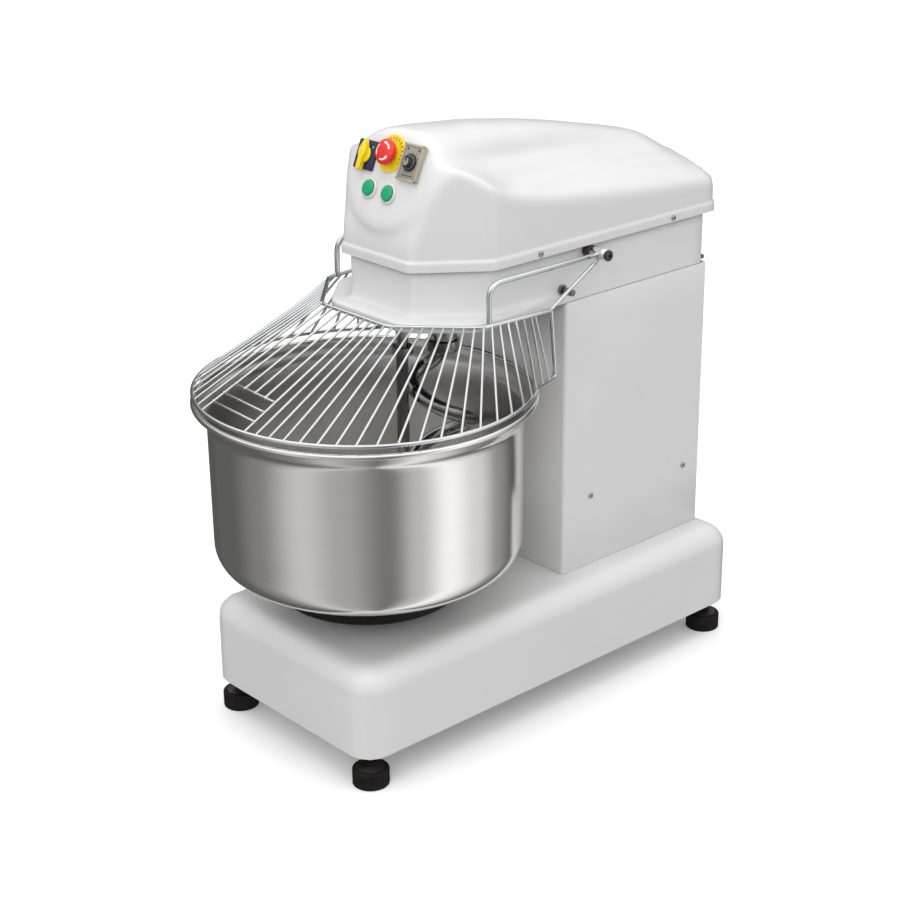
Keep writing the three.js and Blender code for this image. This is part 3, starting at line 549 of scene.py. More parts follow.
# ---- Base ----
BASE_CORNER = 37.0
BASE_BACK_CORNER = 26.0
BASE_FILLET = 34.0


def make_base():
    lo, hi = low("base_shell") / MM, high("base_shell") / MM
    fillet = BASE_FILLET
    half_x = hi.x
    centre_y = (lo.y + hi.y) / 2
    half_y = (hi.y - lo.y) / 2

    def field(x, y, z):
        round_off = np.where(y > centre_y, BASE_BACK_CORNER, BASE_CORNER)
        dx = np.abs(x) - (half_x - round_off)
        dy = np.abs(y - centre_y) - (half_y - round_off)
        outside = np.hypot(np.maximum(dx, 0), np.maximum(dy, 0))
        plan = outside + np.minimum(np.maximum(dx, dy), 0) - round_off
        a, b = plan + fillet, z - hi.z + fillet
        return np.hypot(np.maximum(a, 0), np.maximum(b, 0)) + np.minimum(np.maximum(a, b), 0) - fillet

    spine = spine_rays(centre_y - 240, centre_y + 240, 20, 48, 48)
    climbs = [radians(d) for d in (*np.linspace(0.5, 30, 30), 36, 48, 66, 90)]
    levels = [lo.z, lo.z + 1.5, lo.z + 12, hi.z - fillet - 20]
    rings = star_rings(field, spine, levels, hi.z - fillet - 10, climbs)
    inset = [Vector((v.x * 0.992, v.y * 0.996, v.z + 0.0004)) for v in rings[0]]
    skin = weld(*rings_mesh([inset] + rings), 1e-5)
    fitted("base_cover", skin, "white_paint", 50, "frame", "base_shell", sheet=0.004)


# ---- Column ----
def make_column():
    lo, hi = low("column_shell"), high("column_shell")
    centre = (0, (lo.y + hi.y) / 2)
    z0 = lo.z - 0.0002
    levels = [(0.0008, z0), (0, z0 + 0.0008), (0, z0 + 0.1), (0, hi.z - 0.05), (0, hi.z - 0.0022)]
    levels += [(0.0006, hi.z - 0.0008), (0.002, hi.z)]
    rings = [slab_ring(hi.x, hi.y - centre[1], 0.005, inset, z, 8, centre) for inset, z in levels]
    fitted("column_body", rings_mesh(rings), "white_paint", 50, "frame", "column_shell", sheet=0.0025)


# ---- Head casing ----
def make_casing():
    lo, hi = low("head_casing") / MM, high("head_casing") / MM
    brim_top = lo.z + 15.0
    flare = hi.x - 0.5
    front_edge = (80, lo.y), (156, lo.y + 80)
    rear_edge = (flare, -40), (HEAD_HALF, 68)
    brim_back = 180.0

    def field(x, y, z):
        ax = np.abs(x)
        casing = head_plan(x, y, 8.0, 8.0)
        brim = soft_max(lo.y - y, edge_line(ax, y, *front_edge), 26.0)
        brim = soft_max(brim, ax - flare, 20.0)
        brim = soft_max(brim, edge_line(ax, y, *rear_edge), 30.0)
        brim = soft_max(brim, y - brim_back, 10.0)
        brim = soft_max(brim, np.abs(z - (lo.z + brim_top) / 2) - (brim_top - lo.z) / 2, 9.0)
        return soft_max(soft_min(casing, brim, 15.0), lo.z - 0.5 - z, 4.0)

    spine = spine_rays(-60, 330, 10, 96, 24)
    levels = [*np.linspace(lo.z + 0.05, lo.z + 5, 8), *np.linspace(lo.z + 7, brim_top - 3, 4)]
    levels += [*np.linspace(brim_top - 2, brim_top + 10, 22)]
    levels += [*np.linspace(brim_top + 13, brim_top + 40, 8), hi.z - 0.2]
    rings = star_rings(field, spine, levels, 0, [])
    fitted("head_body", rings_mesh(rings), "white_paint", 60, "frame", "head_casing", sheet=0.003)


# ---- Head cover ----
COVER_WALL_OUT = 9.5
COVER_BACK_CORNER = 34.0
LIP_OUT = 12.0
LIP_TOP = 723.0
PANEL_TILT = radians(23)
PANEL_Y = -117.0
PANEL_Z = 850.0
# Places along Y, with the height of the middle, of the crease beside it, and of the wall's top.
COVER_PLACES = [-150, -100, -60, -25, 30, 75, 130, 200, 250, 305, 362, 401]
COVER_MIDDLE = [886, 888, 888, 886, 882, 876, 868, 855, 844, 832, 817, 800]
COVER_CREASE = [856, 856, 853, 849, 844, 840, 835, 829, 823, 816, 806, 790]
COVER_WALL_TOP = [846, 842, 824, 809, 796, 789, 782, 774, 769, 765, 761, 757]
SPINE_HALF = [93, 90, 82, 75, 67, 62, 57, 53, 52, 53, 55, 57]
SPINE_RISE = 56.0
SPINE_DROP = 76.0
SPINE_POWER_ABOVE = 2.4
SPINE_POWER_BELOW = 1.9
SPINE_SIZE = 62.0
FLANK_BULGE = 1.35
# Soft valleys that run along each flank: how far out, at places along Y.
VALLEYS = [
    ([-60, -20, 65, 140, 210, 300, 400], [132, 120, 100, 86, 76, 68, 66], 4.5),
    ([20, 70, 146, 232, 326, 400], [136, 124, 110, 98, 92, 90], 3.0),
]


def panel_distance(y, z):
    """How far a point lies in front of the leaning control panel."""
    return -(y - PANEL_Y) * cos(PANEL_TILT) + (z - PANEL_Z) * sin(PANEL_TILT)


def flank_height(ax, y):
    """The height of the cover beside its raised middle."""
    crease = eased(y, COVER_PLACES, COVER_CREASE)
    wall_top = eased(y, COVER_PLACES, COVER_WALL_TOP)
    inner = eased(y, COVER_PLACES, SPINE_HALF) - 14
    t = np.clip((HEAD_HALF + COVER_WALL_OUT - ax) / (HEAD_HALF + COVER_WALL_OUT - inner), -0.4, 1.0)
    height = wall_top + (crease - wall_top) * (1 - (1 - t) ** FLANK_BULGE)
    for places, across, depth in VALLEYS:
        offset = (ax - eased(y, places, across)) / 15.0
        fade = np.clip((y - places[0]) / 60.0, 0, 1) * np.clip((420 - y) / 90.0, 0, 1)
        height = height - depth * fade * np.exp(-offset ** 2)
    return height


def spine_field(x, y, z):
    """The raised middle: an egg-shaped section that carries the control panel at its front."""
    top = eased(y, COVER_PLACES, COVER_MIDDLE)
    half = eased(y, COVER_PLACES, SPINE_HALF)
    wide_z = top - SPINE_RISE
    upper = np.maximum(z - wide_z, 0) / SPINE_RISE
    lower = np.maximum(wide_z - z, 0) / SPINE_DROP
    across = np.abs(x) / half
    power = np.where(z > wide_z, SPINE_POWER_ABOVE, SPINE_POWER_BELOW)
    size = (across ** power + upper ** power + lower ** power + 1e-9) ** (1 / power)
    return (size - 1) * SPINE_SIZE


def cover_field(x, y, z):
    """Slanted walls and flanks, the pod with the panel, and the lip round the lower edge."""
    ax = np.abs(x)
    plan = head_plan(x, y, 10.0, COVER_BACK_CORNER) - COVER_WALL_OUT
    flank = (z - flank_height(ax, y)) * 0.9
    body = soft_max(plan, flank, 18.0)
    body = soft_max(body, panel_distance(y, z) + 5.0, 16.0)
    pod = soft_max(spine_field(x, y, z), panel_distance(y, z), 24.0)
    pod = soft_max(pod, y - HEAD_BACK - 4, 46.0)
    body = soft_min(body, pod, 16.0)
    lip = soft_max(head_plan(x, y, 7.0, COVER_BACK_CORNER) - LIP_OUT, z - LIP_TOP, 7.0)
    return soft_min(body, lip, 4.0)


def make_cover():
    lo = low("head_cover") / MM
    spine = spine_rays(-55, 335, 6, 120, 44)
    climbs = [radians(d) for d in np.linspace(0.4, 14, 30)]
    climbs += [radians(d) for d in (*np.linspace(15, 78, 84), 81, 84, 87, 90)]
    levels = [lo.z + 0.05, lo.z + 1, lo.z + 3, lo.z + 5, lo.z + 7]
    rings = star_rings(cover_field, spine, levels, lo.z + 7.5, climbs)
    inset = [Vector((v.x * 0.93, v.y * 0.97, v.z)) for v in rings[0]]
    skin = weld(*rings_mesh([inset] + rings), 1e-5)
    fitted("cover_shell", skin, "cover_paint", 60, "frame", "head_cover", sheet=0.004)


make_base()
make_column()
make_casing()
make_cover()


# ---- Bowl and what shows of its drive ----
BOWL_X = middle("bowl").x
BOWL_Y = middle("bowl").y
BOWL_WALL = 0.2275


def make_bowl():
    lo, hi = low("bowl"), high("bowl")
    rim = hi.x - BOWL_X
    bead = 0.0045
    bead_centre = (rim - bead, hi.z - bead)
    floor = lo.z
    corner = 0.042
    sheet = 0.0025
    neck = hi.z - 0.034
    outer = [(0, floor), (0.08, floor), (BOWL_WALL - corner, floor)]
    outer += arc((BOWL_WALL - corner, floor + corner), corner, -90, 0, 14)[1:]
    outer += [(BOWL_WALL + 0.0006, neck - 0.05), (BOWL_WALL + 0.0008, neck - 0.004)]
    flare = [(0.0014, 0.002), (0.003, 0.006), (0.0062, 0.011), (0.0102, 0.0155), (0.0145, 0.0195)]
    outer += [(BOWL_WALL + dx, neck + dz) for dx, dz in flare]
    rolled = arc(bead_centre, bead, -60, 205, 14)
    inner = [(BOWL_WALL + dx - sheet, neck + dz + 0.0012) for dx, dz in reversed(flare)]
    inner += [(BOWL_WALL - sheet + 0.0006, neck - 0.05)]
    small = corner - sheet
    inner += arc((BOWL_WALL - corner, floor + corner), small, 0, -90, 14)
    inner += [(0.08, floor + sheet), (0, floor + sheet)]
    place = (BOWL_X, BOWL_Y, 0)
    fitted("bowl_shell", lathe(outer + rolled, 192, place), "stainless", 60, "bowl", "bowl")
    # The inner skin carries painted shade: a darker, duller copy of the stainless.
    skin = lathe([rolled[-1]] + inner, 192, place)
    fitted("bowl_inside_shaded", skin, "bowl_inside_shaded", 60, "bowl", slot="stainless")


def make_drive_plate():
    lo, hi = low("bowl_drive_plate"), high("bowl_drive_plate")
    radius = hi.x - BOWL_X
    bore = high("bowl_spindle").x - BOWL_X + 0.0003
    # The drum is wide and black: it stands for the drive plate and partly fills in, as painted shade, the
    # dark gap under the bowl.
    hub, drum = 0.092, 0.138
    drum_z, plate_z = lo.z + 0.015, lo.z + 0.043
    profile = [(bore, lo.z), (hub - 0.002, lo.z), (hub, lo.z + 0.002), (hub, drum_z)]
    profile += [(drum - 0.004, drum_z)] + arc((drum - 0.004, drum_z + 0.004), 0.004, -90, 0, 6)
    profile += [(drum, plate_z - 0.002)] + arc((drum + 0.002, plate_z - 0.002), 0.002, 180, 90, 4)
    profile += [(radius - 0.002, plate_z), (radius, plate_z + 0.002), (radius, hi.z - 0.001)]
    profile += [(radius - 0.001, hi.z), (bore, hi.z), (bore, lo.z)]
    skin = lathe(profile, 96, (BOWL_X, BOWL_Y, 0))
    fitted("bowl_hub", skin, "black_steel", 40, "bowl", "bowl_drive_plate")


make_bowl()
make_drive_plate()


# ---- Hook, breaker bar and what holds them ----
HOOK_Y = middle("hook_shaft").y


def make_hook():
    """A bar that winds down round the axis, under a hub that grips the shaft."""
    lo, hi = low("spiral_hook"), high("spiral_hook")
    reach_out, bar = 0.050, 0.011
    turns, start = 1.6, radians(190)
    opening = 0.11
    neck = hi.z - 0.044
    points = [Vector((0, 0, neck + 0.006)), Vector((0, 0, neck - 0.004))]
    steps = 150
    for i in range(steps + 1):
        share = i / steps
        angle = start + share * turns * 2 * pi
        grow = 1.0 if share > opening else 1 - 0.65 * (1 - share / opening) ** 2
        shrink = 1 - max(0, share - 0.9) * 3
        reach = reach_out * grow * shrink
        z = neck - 0.022 + (lo.z + bar - neck + 0.022) * share
        points.append(polar(reach, angle, z))
    moved = [p + Vector((0, HOOK_Y, 0)) for p in relaxed(points, 6)]
    spiral = tube(moved, bar, 20, lambda t: 1 - 0.35 * max(0, t - 0.92) / 0.08)
    hub = [(0, neck), (0.022, neck), (0.0246, neck + 0.0025), (0.0246, neck + 0.018)]
    hub += [(0.0215, neck + 0.020), (0.0215, hi.z - 0.003), (0.019, hi.z), (0.0163, hi.z)]
    hub += [(0.0163, neck + 0.012), (0, neck + 0.012)]
    hub_mesh = lathe(hub, 48, (0, HOOK_Y, 0))
    skin = merged([spiral, hub_mesh])
    # The hook's darker stainless is painted shade.
    fitted("dough_hook", skin, "shaded_stainless", 40, "hook", "spiral_hook", slot="stainless")


def relaxed(points, rounds):
    """Evens out a path by moving each point towards its neighbours."""
    for _ in range(rounds):
        points = [points[0]] + [
            (points[i - 1] + points[i] * 2 + points[i + 1]) / 4 for i in range(1, len(points) - 1)
        ] + [points[-1]]
    return points


def make_hook_shaft():
    lo, hi = low("hook_shaft"), high("hook_shaft")
    radius = 0.016
    collar = high("spiral_hook").z + 0.004
    profile = [(0, lo.z), (radius - 0.001, lo.z), (radius, lo.z + 0.001), (radius, collar)]
    profile += [(radius + 0.0035, collar), (radius + 0.004, collar + 0.0005)]
    profile += [(radius + 0.004, collar + 0.0035), (radius + 0.0035, collar + 0.004)]
    profile += [(radius, collar + 0.004), (radius, hi.z - 0.001), (radius - 0.001, hi.z), (0, hi.z)]
    skin = lathe(profile, 48, (0, HOOK_Y, 0))
    # The spindle's darker stainless is painted shade.
    fitted("hook_spindle", skin, "shaded_stainless", 40, "hook", "hook_shaft", slot="stainless")


def make_hook_bearing():
    lo, hi = low("hook_bearing"), high("hook_bearing")
    plate = high("head_floor").z + 0.0003
    bore = 0.0165
    flange = hi.x
    profile = [(bore, lo.z), (0.0325, lo.z), (0.034, lo.z + 0.0015), (0.036, lo.z + 0.004), (0.036, plate)]
    profile += [(flange, plate), (flange, plate + 0.008), (flange - 0.001, plate + 0.009)]
    profile += [(0.041, plate + 0.011), (0.038, hi.z - 0.001), (0.037, hi.z), (bore, hi.z), (bore, lo.z)]
    skin = lathe(profile, 64, (0, HOOK_Y, 0))
    fitted("hook_bearing_housing", skin, "cast_iron", 40, "frame", "hook_bearing")


def make_breaker():
    lo, hi = low("breaker_bar"), high("breaker_bar")
    centre = middle("breaker_bar")
    radius = (hi.x - lo.x) / 2
    profile = [(0, lo.z)] + arc((radius - 0.004, lo.z + 0.004), 0.004, -90, 0, 5)
    profile += [(radius, hi.z - 0.0005), (radius - 0.0005, hi.z), (0, hi.z)]
    place = (centre.x, centre.y, 0)
    collar_z = hi.z - 0.066
    collar = [(radius, collar_z), (radius + 0.006, collar_z), (radius + 0.0072, collar_z + 0.0012)]
    collar += [(radius + 0.0072, collar_z + 0.0108), (radius + 0.006, collar_z + 0.012)]
    collar += [(radius, collar_z + 0.012), (radius, collar_z)]
    bar = merged([lathe(profile, 40, place), lathe(collar, 40, place)])
    # The breaker bar's darker stainless is painted shade.
    fitted("dough_breaker", bar, "shaded_stainless", 40, "frame", "breaker_bar", slot="stainless")


make_hook()
make_hook_shaft()
make_hook_bearing()
make_breaker()


# ---- Guard ----
# A ring over the bowl's rim, a bent bar under the head, and wires counted outwards from the middle.
BAR_Z = low("head_casing").z + 0.0147
RING_Z = 0.534
RING = 0.246
BAR_CORNERS = [(0, -0.197), (0.073, -0.197), (0.167, -0.108), (0.177, 0.018)]
RING_END = (0.168, 0.037)
WIRE_FIRST = 0.024
WIRE_PITCH = 0.0141
WIRE_LAST = 18
SLOT_LEFT = 1.6
SLOT_BARS = (0.09, 0.17, 0.255)
SLOT_CUTS = 3
PIVOT_Y = middle("guard_pivot_right").y
PIVOT_Z = middle("guard_pivot_right").z
ARM_X = 0.165
ARM_FRONT = -0.092
HINGE_OUT = 0.178
SKIN_X = high("column_shell").x + 0.0003
ROD = 0.003
WIRE = 0.0019


def bar_point(side, distance):
    """The point at a distance along the bar from its middle."""
    corners = [Vector((side * x, y, BAR_Z)) for x, y in BAR_CORNERS]
    for start, end in zip(corners, corners[1:]):
        length = (end - start).length
        if distance <= length or end is corners[-1]:
            return start.lerp(end, min(distance / length, 1.0))
        distance -= length


def ring_point(side, degrees):
    point = polar(RING, radians(degrees), RING_Z)
    return Vector((side * point.x, BOWL_Y + point.y, point.z))


def wire_angle(spot):
    """Where wire number spot meets the ring, in degrees; the wires spread outwards."""
    return -81.3 + 4.7 * spot + 0.115 * spot * spot


def wire_ends(side, spot):
    return bar_point(side, WIRE_FIRST + WIRE_PITCH * spot), ring_point(side, wire_angle(spot))


def weld_bead(place):
    """A small blob of weld where two wires meet."""
    radius = WIRE * 1.5
    profile = [(0, -radius)] + arc((0, 0), radius, -60, 60, 4) + [(0, radius)]
    return lathe(profile, 8, place)


def wire(start, end):
    """A straight wire with a bead of weld at each end."""
    return [tube([start, end], WIRE), weld_bead(start), weld_bead(end)]


def guard_wires():
    """The fan of wires, with the ladder of short bars over the filling slot."""
    parts = []
    for side, first in ((1, 0), (-1, SLOT_LEFT)):
        spot = first
        while spot <= WIRE_LAST:
            parts += wire(*wire_ends(side, spot))
            spot += 1
    right_top, right_foot = wire_ends(1, 0)
    left_top, left_foot = wire_ends(-1, SLOT_LEFT)
    for share in SLOT_BARS:
        parts += wire(right_foot.lerp(right_top, share), left_foot.lerp(left_top, share))
    for i in range(1, SLOT_CUTS + 1):
        share = i / (SLOT_CUTS + 1)
        top = right_top.lerp(left_top, share)
        foot = right_foot.lerp(left_foot, share)
        parts += wire(top, foot.lerp(top, SLOT_BARS[-1]))
    return parts


def guard_side(side):
    """The last wires of a side, and the arm and strut that carry them from the hinge."""
    parts = []
    ring_start = ring_point(side, wire_angle(WIRE_LAST))
    for share in (0.35, 0.7):
        top = bar_point(side, WIRE_FIRST + WIRE_PITCH * (WIRE_LAST + 1.4 * (share + 0.35)))
        parts += wire(top, ring_start.lerp(ring_end(side), share))
    arm = [(side * ARM_X, y, PIVOT_Z) for y in (PIVOT_Y - 0.004, ARM_FRONT)]
    arm.append((side * (ARM_X + 0.001), ARM_FRONT, BAR_Z))
    parts.append(tube(rounded_path(arm, 0.024, 10), 0.004, 16))
    strut = [(side * (ARM_X + 0.002), PIVOT_Y - 0.005, PIVOT_Z - 0.005), (side * 0.176, 0.016, BAR_Z)]
    parts.append(tube(strut, 0.0026, 14))
    return parts


def corner_above(side):
    return Vector((side * BAR_CORNERS[3][0], BAR_CORNERS[3][1], BAR_Z))


def ring_end(side):
    return Vector((side * RING_END[0], RING_END[1], RING_Z))


def guard_frame():
    """The ring over the rim and the bar under the head, bent from one rod with its two ends."""
    last = wire_angle(WIRE_LAST)
    steps = 96
    ring = [corner_above(1), ring_end(1)]
    ring += [ring_point(1, last + (-180 - 2 * last) * i / steps) for i in range(steps + 1)]
    ring += [ring_end(-1), corner_above(-1)]
    bent = rounded_path(ring[:3], 0.008, 5)[:-1] + ring[2:-2] + rounded_path(ring[-3:], 0.008, 5)[1:]
    bar = [Vector((x, y, BAR_Z)) for x, y in reversed(BAR_CORNERS)]
    bar += [Vector((-x, y, BAR_Z)) for x, y in BAR_CORNERS[1:]]
    # The middle point lies on the bar's straight front, so it needs no bend.
    bar.pop(3)
    return [tube(bent, ROD, 14), tube(rounded_path(bar, 0.016, 8), ROD, 14)]


def hinge_tube(side):
    """The short tube on each arm that turns on the pivot."""
    inner, outer = 0.150, HINGE_OUT
    wall, bore = 0.009, 0.0055
    profile = [(bore, inner + 0.0006), (bore + 0.0006, inner), (wall - 0.0008, inner)]
    profile += [(wall, inner + 0.0008), (wall, outer - 0.0008), (wall - 0.0008, outer)]
    profile += [(bore + 0.0006, outer), (bore, outer - 0.0006), (bore, inner + 0.0006)]
    return lathe(profile, 48, (0, PIVOT_Y, PIVOT_Z), sideways(side))


def sideways(side):
    """Turns +Z to point out to one side."""
    return Matrix.Rotation(side * pi / 2, 4, "Y")


def make_guard():
    parts = guard_frame() + guard_wires()
    for side, _ in SIDES:
        parts += guard_side(side)
        parts.append(hinge_tube(side))
    fitted("guard_wirework", merged(parts), "guard_chrome", 50, "guard", "guard_cage")


def make_pivots():
    """On each side a boss, the pin through the guard's hinge, and the pin's hollow cap."""
    skin, outer = SKIN_X, HINGE_OUT
    pin = [(0, skin - 0.012), (0.005, skin - 0.012), (0.005, skin), (0.0085, skin), (0.009, skin + 0.0006)]
    pin += [(0.009, 0.1486), (0.0085, 0.1492), (0.005, 0.1492), (0.005, outer + 0.001)]
    pin += [(0.0074, outer + 0.001), (0.008, outer + 0.0016), (0.008, outer + 0.0034)]
    pin += arc((0.0055, outer + 0.0025), 0.0025, 20, 90, 4)
    pin += [(0.003, outer + 0.005), (0.003, outer + 0.0028), (0, outer + 0.0028)]
    for side, label in SIDES:
        mesh = lathe(pin, 40, (0, PIVOT_Y, PIVOT_Z), sideways(side))
        fitted(f"pivot_{label}", mesh, "brown_steel", 40, "frame", f"guard_pivot_{label}", slot="zinc")


def hexagon(angle, radius, _):
    """The reach of a hexagon's edge at an angle, from its inner radius."""
    sector = pi / 3
    return radius / cos((angle + sector / 2) % sector - sector / 2)


def make_stops():
    """On each side the round stop that the guard's strut rests on, held by a nut."""
    skin = SKIN_X
    for side, label in SIDES:
        node = f"guard_stop_{label}"
        tip = max(abs(low(node).x), abs(high(node).x))
        place = (0, middle(node).y, middle(node).z)
        shank = [(0, skin - 0.010), (0.003, skin - 0.010), (0.003, skin + 0.0055)]
        shank += [(0.0046, skin + 0.0055), (0.005, skin + 0.0062), (0.005, tip - 0.002)]
        shank += arc((0.003, tip - 0.002), 0.002, 0, 90, 5) + [(0, tip)]
        nut = [(0.003, skin), (0.0065, skin), (0.007, skin + 0.0005), (0.007, skin + 0.0048)]
        nut += [(0.0064, skin + 0.0054), (0.003, skin + 0.0054), (0.003, skin)]
        turned = lathe(shank, 32, place, sideways(side)), lathe(nut, 48, place, sideways(side), hexagon)
        fitted(f"stop_{label}", merged(turned), "dark_zinc", 35, "frame", node, slot="black_steel")


make_guard()
make_pivots()
make_stops()


# ---- Screws ----
def make_screw(node):
    """A pan head screw with a round socket."""
    lo, hi = low(node), high(node)
    side = 1 if lo.x > 0 else -1
    tip = min(abs(lo.x), abs(hi.x))
    face = max(abs(lo.x), abs(hi.x))
    seat = face - 0.0024
    shank = [(0, tip), (0.0016, tip), (0.002, tip + 0.0005), (0.002, seat), (0.0042, seat)]
    head = [(0.0045, seat + 0.0004), (0.0045, seat + 0.001)]
    head += arc((0.0026, seat + 0.0006), 0.0018, 15, 80, 5)
    socket = [(0.0018, face), (0.0017, face - 0.0014), (0, face - 0.0016)]
    place = (0, middle(node).y, middle(node).z)
    skin = lathe(shank + head + socket, 28, place, sideways(side))
    fitted(f"{node}_turned", skin, "zinc", 30, "frame", node)


for screw_node in sorted(n for n in NODES if "_screw_" in n):
    make_screw(screw_node)


# ---- Levelling feet ----
RIB_COUNT = 36
RIB_DEPTH = 0.0009
STUD_PITCH = 0.0015


def foot_ribs(angle, radius, height):
    """Ribs round the side of the rubber pad."""
    if radius < 0.0265 or not 0.003 < height < 0.0222:
        return radius
    return radius - RIB_DEPTH * (0.5 + 0.5 * cos(RIB_COUNT * angle))


def make_foot(label):
    """A rubber pad, the plate in its top, a lock nut and a threaded stud."""
    node = f"levelling_foot_{label}"
    lo, hi = low(node), high(node)
    place = (middle(node).x, middle(node).y, 0)
    r = (hi.x - lo.x) / 2
    pad = [(0, 0), (r - 0.002, 0)] + arc((r - 0.0015, 0.0015), 0.0015, -90, 0, 3)
    pad += [(r, 0.004), (r, 0.0215)] + arc((r - 0.003, 0.0225), 0.003, 0, 90, 5)
    pad += [(0.019, 0.0262), (0, 0.0262)]
    top = [(0, 0.0261), (r - 0.0062, 0.0261), (r - 0.006, 0.0268), (r - 0.0085, 0.0278)]
    top += [(0.0125, 0.0299), (0.0105, 0.0306), (0, 0.0306)]
    nut = [(0, 0.0307), (0.0082, 0.0307), (0.0088, 0.0313), (0.0088, 0.0366), (0.0080, 0.0373)]
    nut += [(0, 0.0373)]
    skin = lathe(pad, 144, place, None, foot_ribs)
    fitted(f"foot_pad_{label}", skin, "foot_rubber", 45, f"foot_{label}", node)
    skin = lathe(top, 64, place)
    fitted(f"foot_plate_{label}", skin, "brown_steel", 35, f"foot_{label}", slot="foot_rubber")
    nut_mesh = lathe(nut, 48, place, None, hexagon)
    fitted(f"foot_nut_{label}", nut_mesh, "black_steel", 35, f"foot_{label}", slot="foot_rubber")
    stud = [(0, 0.0372), (0.005, 0.0372)]
    z = 0.038
    while z < hi.z - 0.002:
        stud += [(0.005, z), (0.0043, z + STUD_PITCH / 2)]
        z += STUD_PITCH
    stud += [(0.0042, hi.z), (0, hi.z)]
    fitted(f"foot_stud_{label}", lathe(stud, 28, place), "zinc", 30, f"foot_{label}", slot="foot_rubber")


for foot_label in ("front_left", "front_right", "rear_left", "rear_right"):
    make_foot(foot_label)


# ---- Control panel ----
# Each control is drawn flat, with its axis along Z and the panel's face at 0.
PANEL_TURN = Matrix.Rotation(pi / 2 - PANEL_TILT, 4, "X")
PANEL_PLACE = Matrix.Translation(Vector((0, PANEL_Y, PANEL_Z)) * MM)
PANEL = PANEL_PLACE @ PANEL_TURN
CONTROLS = {
    "selector": (-0.0545, -0.004),
    "stop": (-0.006, 0.006),
    "timer": (0.0415, 0.0),
    "start": (-0.030, -0.048),
    "jog": (0.011, -0.049),
}


def on_panel(control, *parts):
    """Moves parts from a control's own flat frame to its place on the leaning panel."""
    across, up = CONTROLS[control]
    matrix = PANEL @ Matrix.Translation(Vector((across, up, 0)))
    vertices, faces = merged(parts)
    return [matrix @ Vector(v) for v in vertices], faces


def ray_marks(degrees, inner, outer, radius, sides):
    """Short marks that point outwards from the axis, each between two ends of [reach, height]."""
    marks = []
    for turn in degrees:
        ends = [polar(reach, radians(turn), height) for reach, height in (inner, outer)]
        marks.append(tube(ends, radius, sides))
    return marks


def outline_prism(outline, z0, z1, edge):
    """A prism over an outline round the origin, with its upper edge softened."""
    rings = []
    for share, z in ((1, z0), (1, z1 - edge), (1 - edge * 18, z1 - edge * 0.3), (1 - edge * 60, z1)):
        rings.append([Vector((x * share, y * share, z)) for x, y in outline])
    return rings_mesh(rings, (True, True))


def lever_outline(tip, waist, tail, width, neck):
    """A pointed lever: a leaf-shaped head with a straight tail."""
    points = []
    steps = 10
    for i in range(steps + 1):
        t = i / steps
        y = tip + (waist - tip) * t
        points.append((-width * sin(pi * (0.08 + 0.72 * t)) * (0.3 + 0.7 * t ** 0.5), y))
    points += [(-neck, waist - 0.004), (-neck, tail + 0.003), (-neck + 0.002, tail)]
    return points + [(-x, y) for x, y in reversed(points)]


def make_selector():
    plate = rounded_slab(0.020, 0.021, 0.0003, 0.005, 0.0025, 0.0009)
    raised = rounded_slab(0.0135, 0.0135, 0.0046, 0.0056, 0.0132, 0.0003, 10)
    skin = on_panel("selector", plate, raised)
    fitted("selector_face", skin, "navy_plastic", 40, "frame", "selector_plate")
    ticks = ray_marks((45, 90, 135), (0.0155, 0.0051), (0.0185, 0.0051), 0.0006, 8)
    fitted("selector_marks", on_panel("selector", *ticks), "white_mark", 40, "frame", slot="navy_plastic")
    base = [(0, -0.008), (0.004, -0.008), (0.004, 0.0058), (0.0115, 0.0058), (0.012, 0.0063)]
    base += [(0.012, 0.0075), (0.0112, 0.0085), (0, 0.0085)]
    outline = lever_outline(0.021, -0.004, -0.024, 0.0085, 0.0043)
    lever = outline_prism(outline, 0.0072, 0.0145, 0.0022)
    skin = on_panel("selector", lathe(base, 48), lever)
    fitted("selector_lever", skin, "yellow_plastic", 35, "selector", "selector_knob")


STOP_TOP = 0.0205
ARROW_REACH = 0.0122
ARROW_STARTS = (20, 140, 260)
ARROW_SWEEP = 78


def make_stop_button():
    collar = [(0.0076, -0.026), (0.011, -0.026), (0.011, 0.0003), (0.0266, 0.0003), (0.027, 0.0007)]
    collar += [(0.027, 0.0021), (0.0266, 0.0026), (0.0160, 0.0028), (0.0156, 0.0034), (0.0150, 0.0036)]
    collar += [(0.0076, 0.0036), (0.0076, -0.026)]
    fitted("stop_disc", on_panel("stop", lathe(collar, 96)), "yellow_plastic", 35, "frame", "stop_collar")
    ticks = ray_marks(np.linspace(-30, 210, 16), (0.0205, 0.00255), (0.0238, 0.0025), 0.0007, 8)
    fitted("stop_disc_marks", on_panel("stop", *ticks), "dark_mark", 40, "frame", slot="yellow_plastic")
    stem = [(0, -0.022), (0.0064, -0.022), (0.007, -0.0214), (0.007, 0.0166), (0.0066, 0.017), (0, 0.017)]
    fitted("stop_stalk", on_panel("stop", lathe(stem, 48)), "black_plastic", 35, "stop_stem", "stop_stem")
    head = [(0.0074, 0.0095), (0.0158, 0.0095), (0.0172, 0.0101), (0.0182, 0.0114), (0.0185, 0.0132)]
    head += [(0.0183, 0.0150), (0.0172, 0.0167), (0.0150, 0.0182), (0.0115, 0.0194), (0.0075, 0.0201)]
    head += [(0.0035, 0.0204), (0, STOP_TOP), (0, 0.0174), (0.0074, 0.0174), (0.0074, 0.0095)]
    fitted("stop_mushroom", on_panel("stop", lathe(head, 96)), "red_plastic", 40, "stop_head", "stop_head")
    arrows = [curved_mark(start, start + ARROW_SWEEP) for start in ARROW_STARTS]
    fitted("stop_turn_marks", on_panel("stop", *arrows), "white_mark", 40, "stop_head", slot="red_plastic")


def mushroom_height(radius):
    """The height of the stop button's domed face."""
    return STOP_TOP - 0.0014 * (radius / 0.0120) ** 2.6


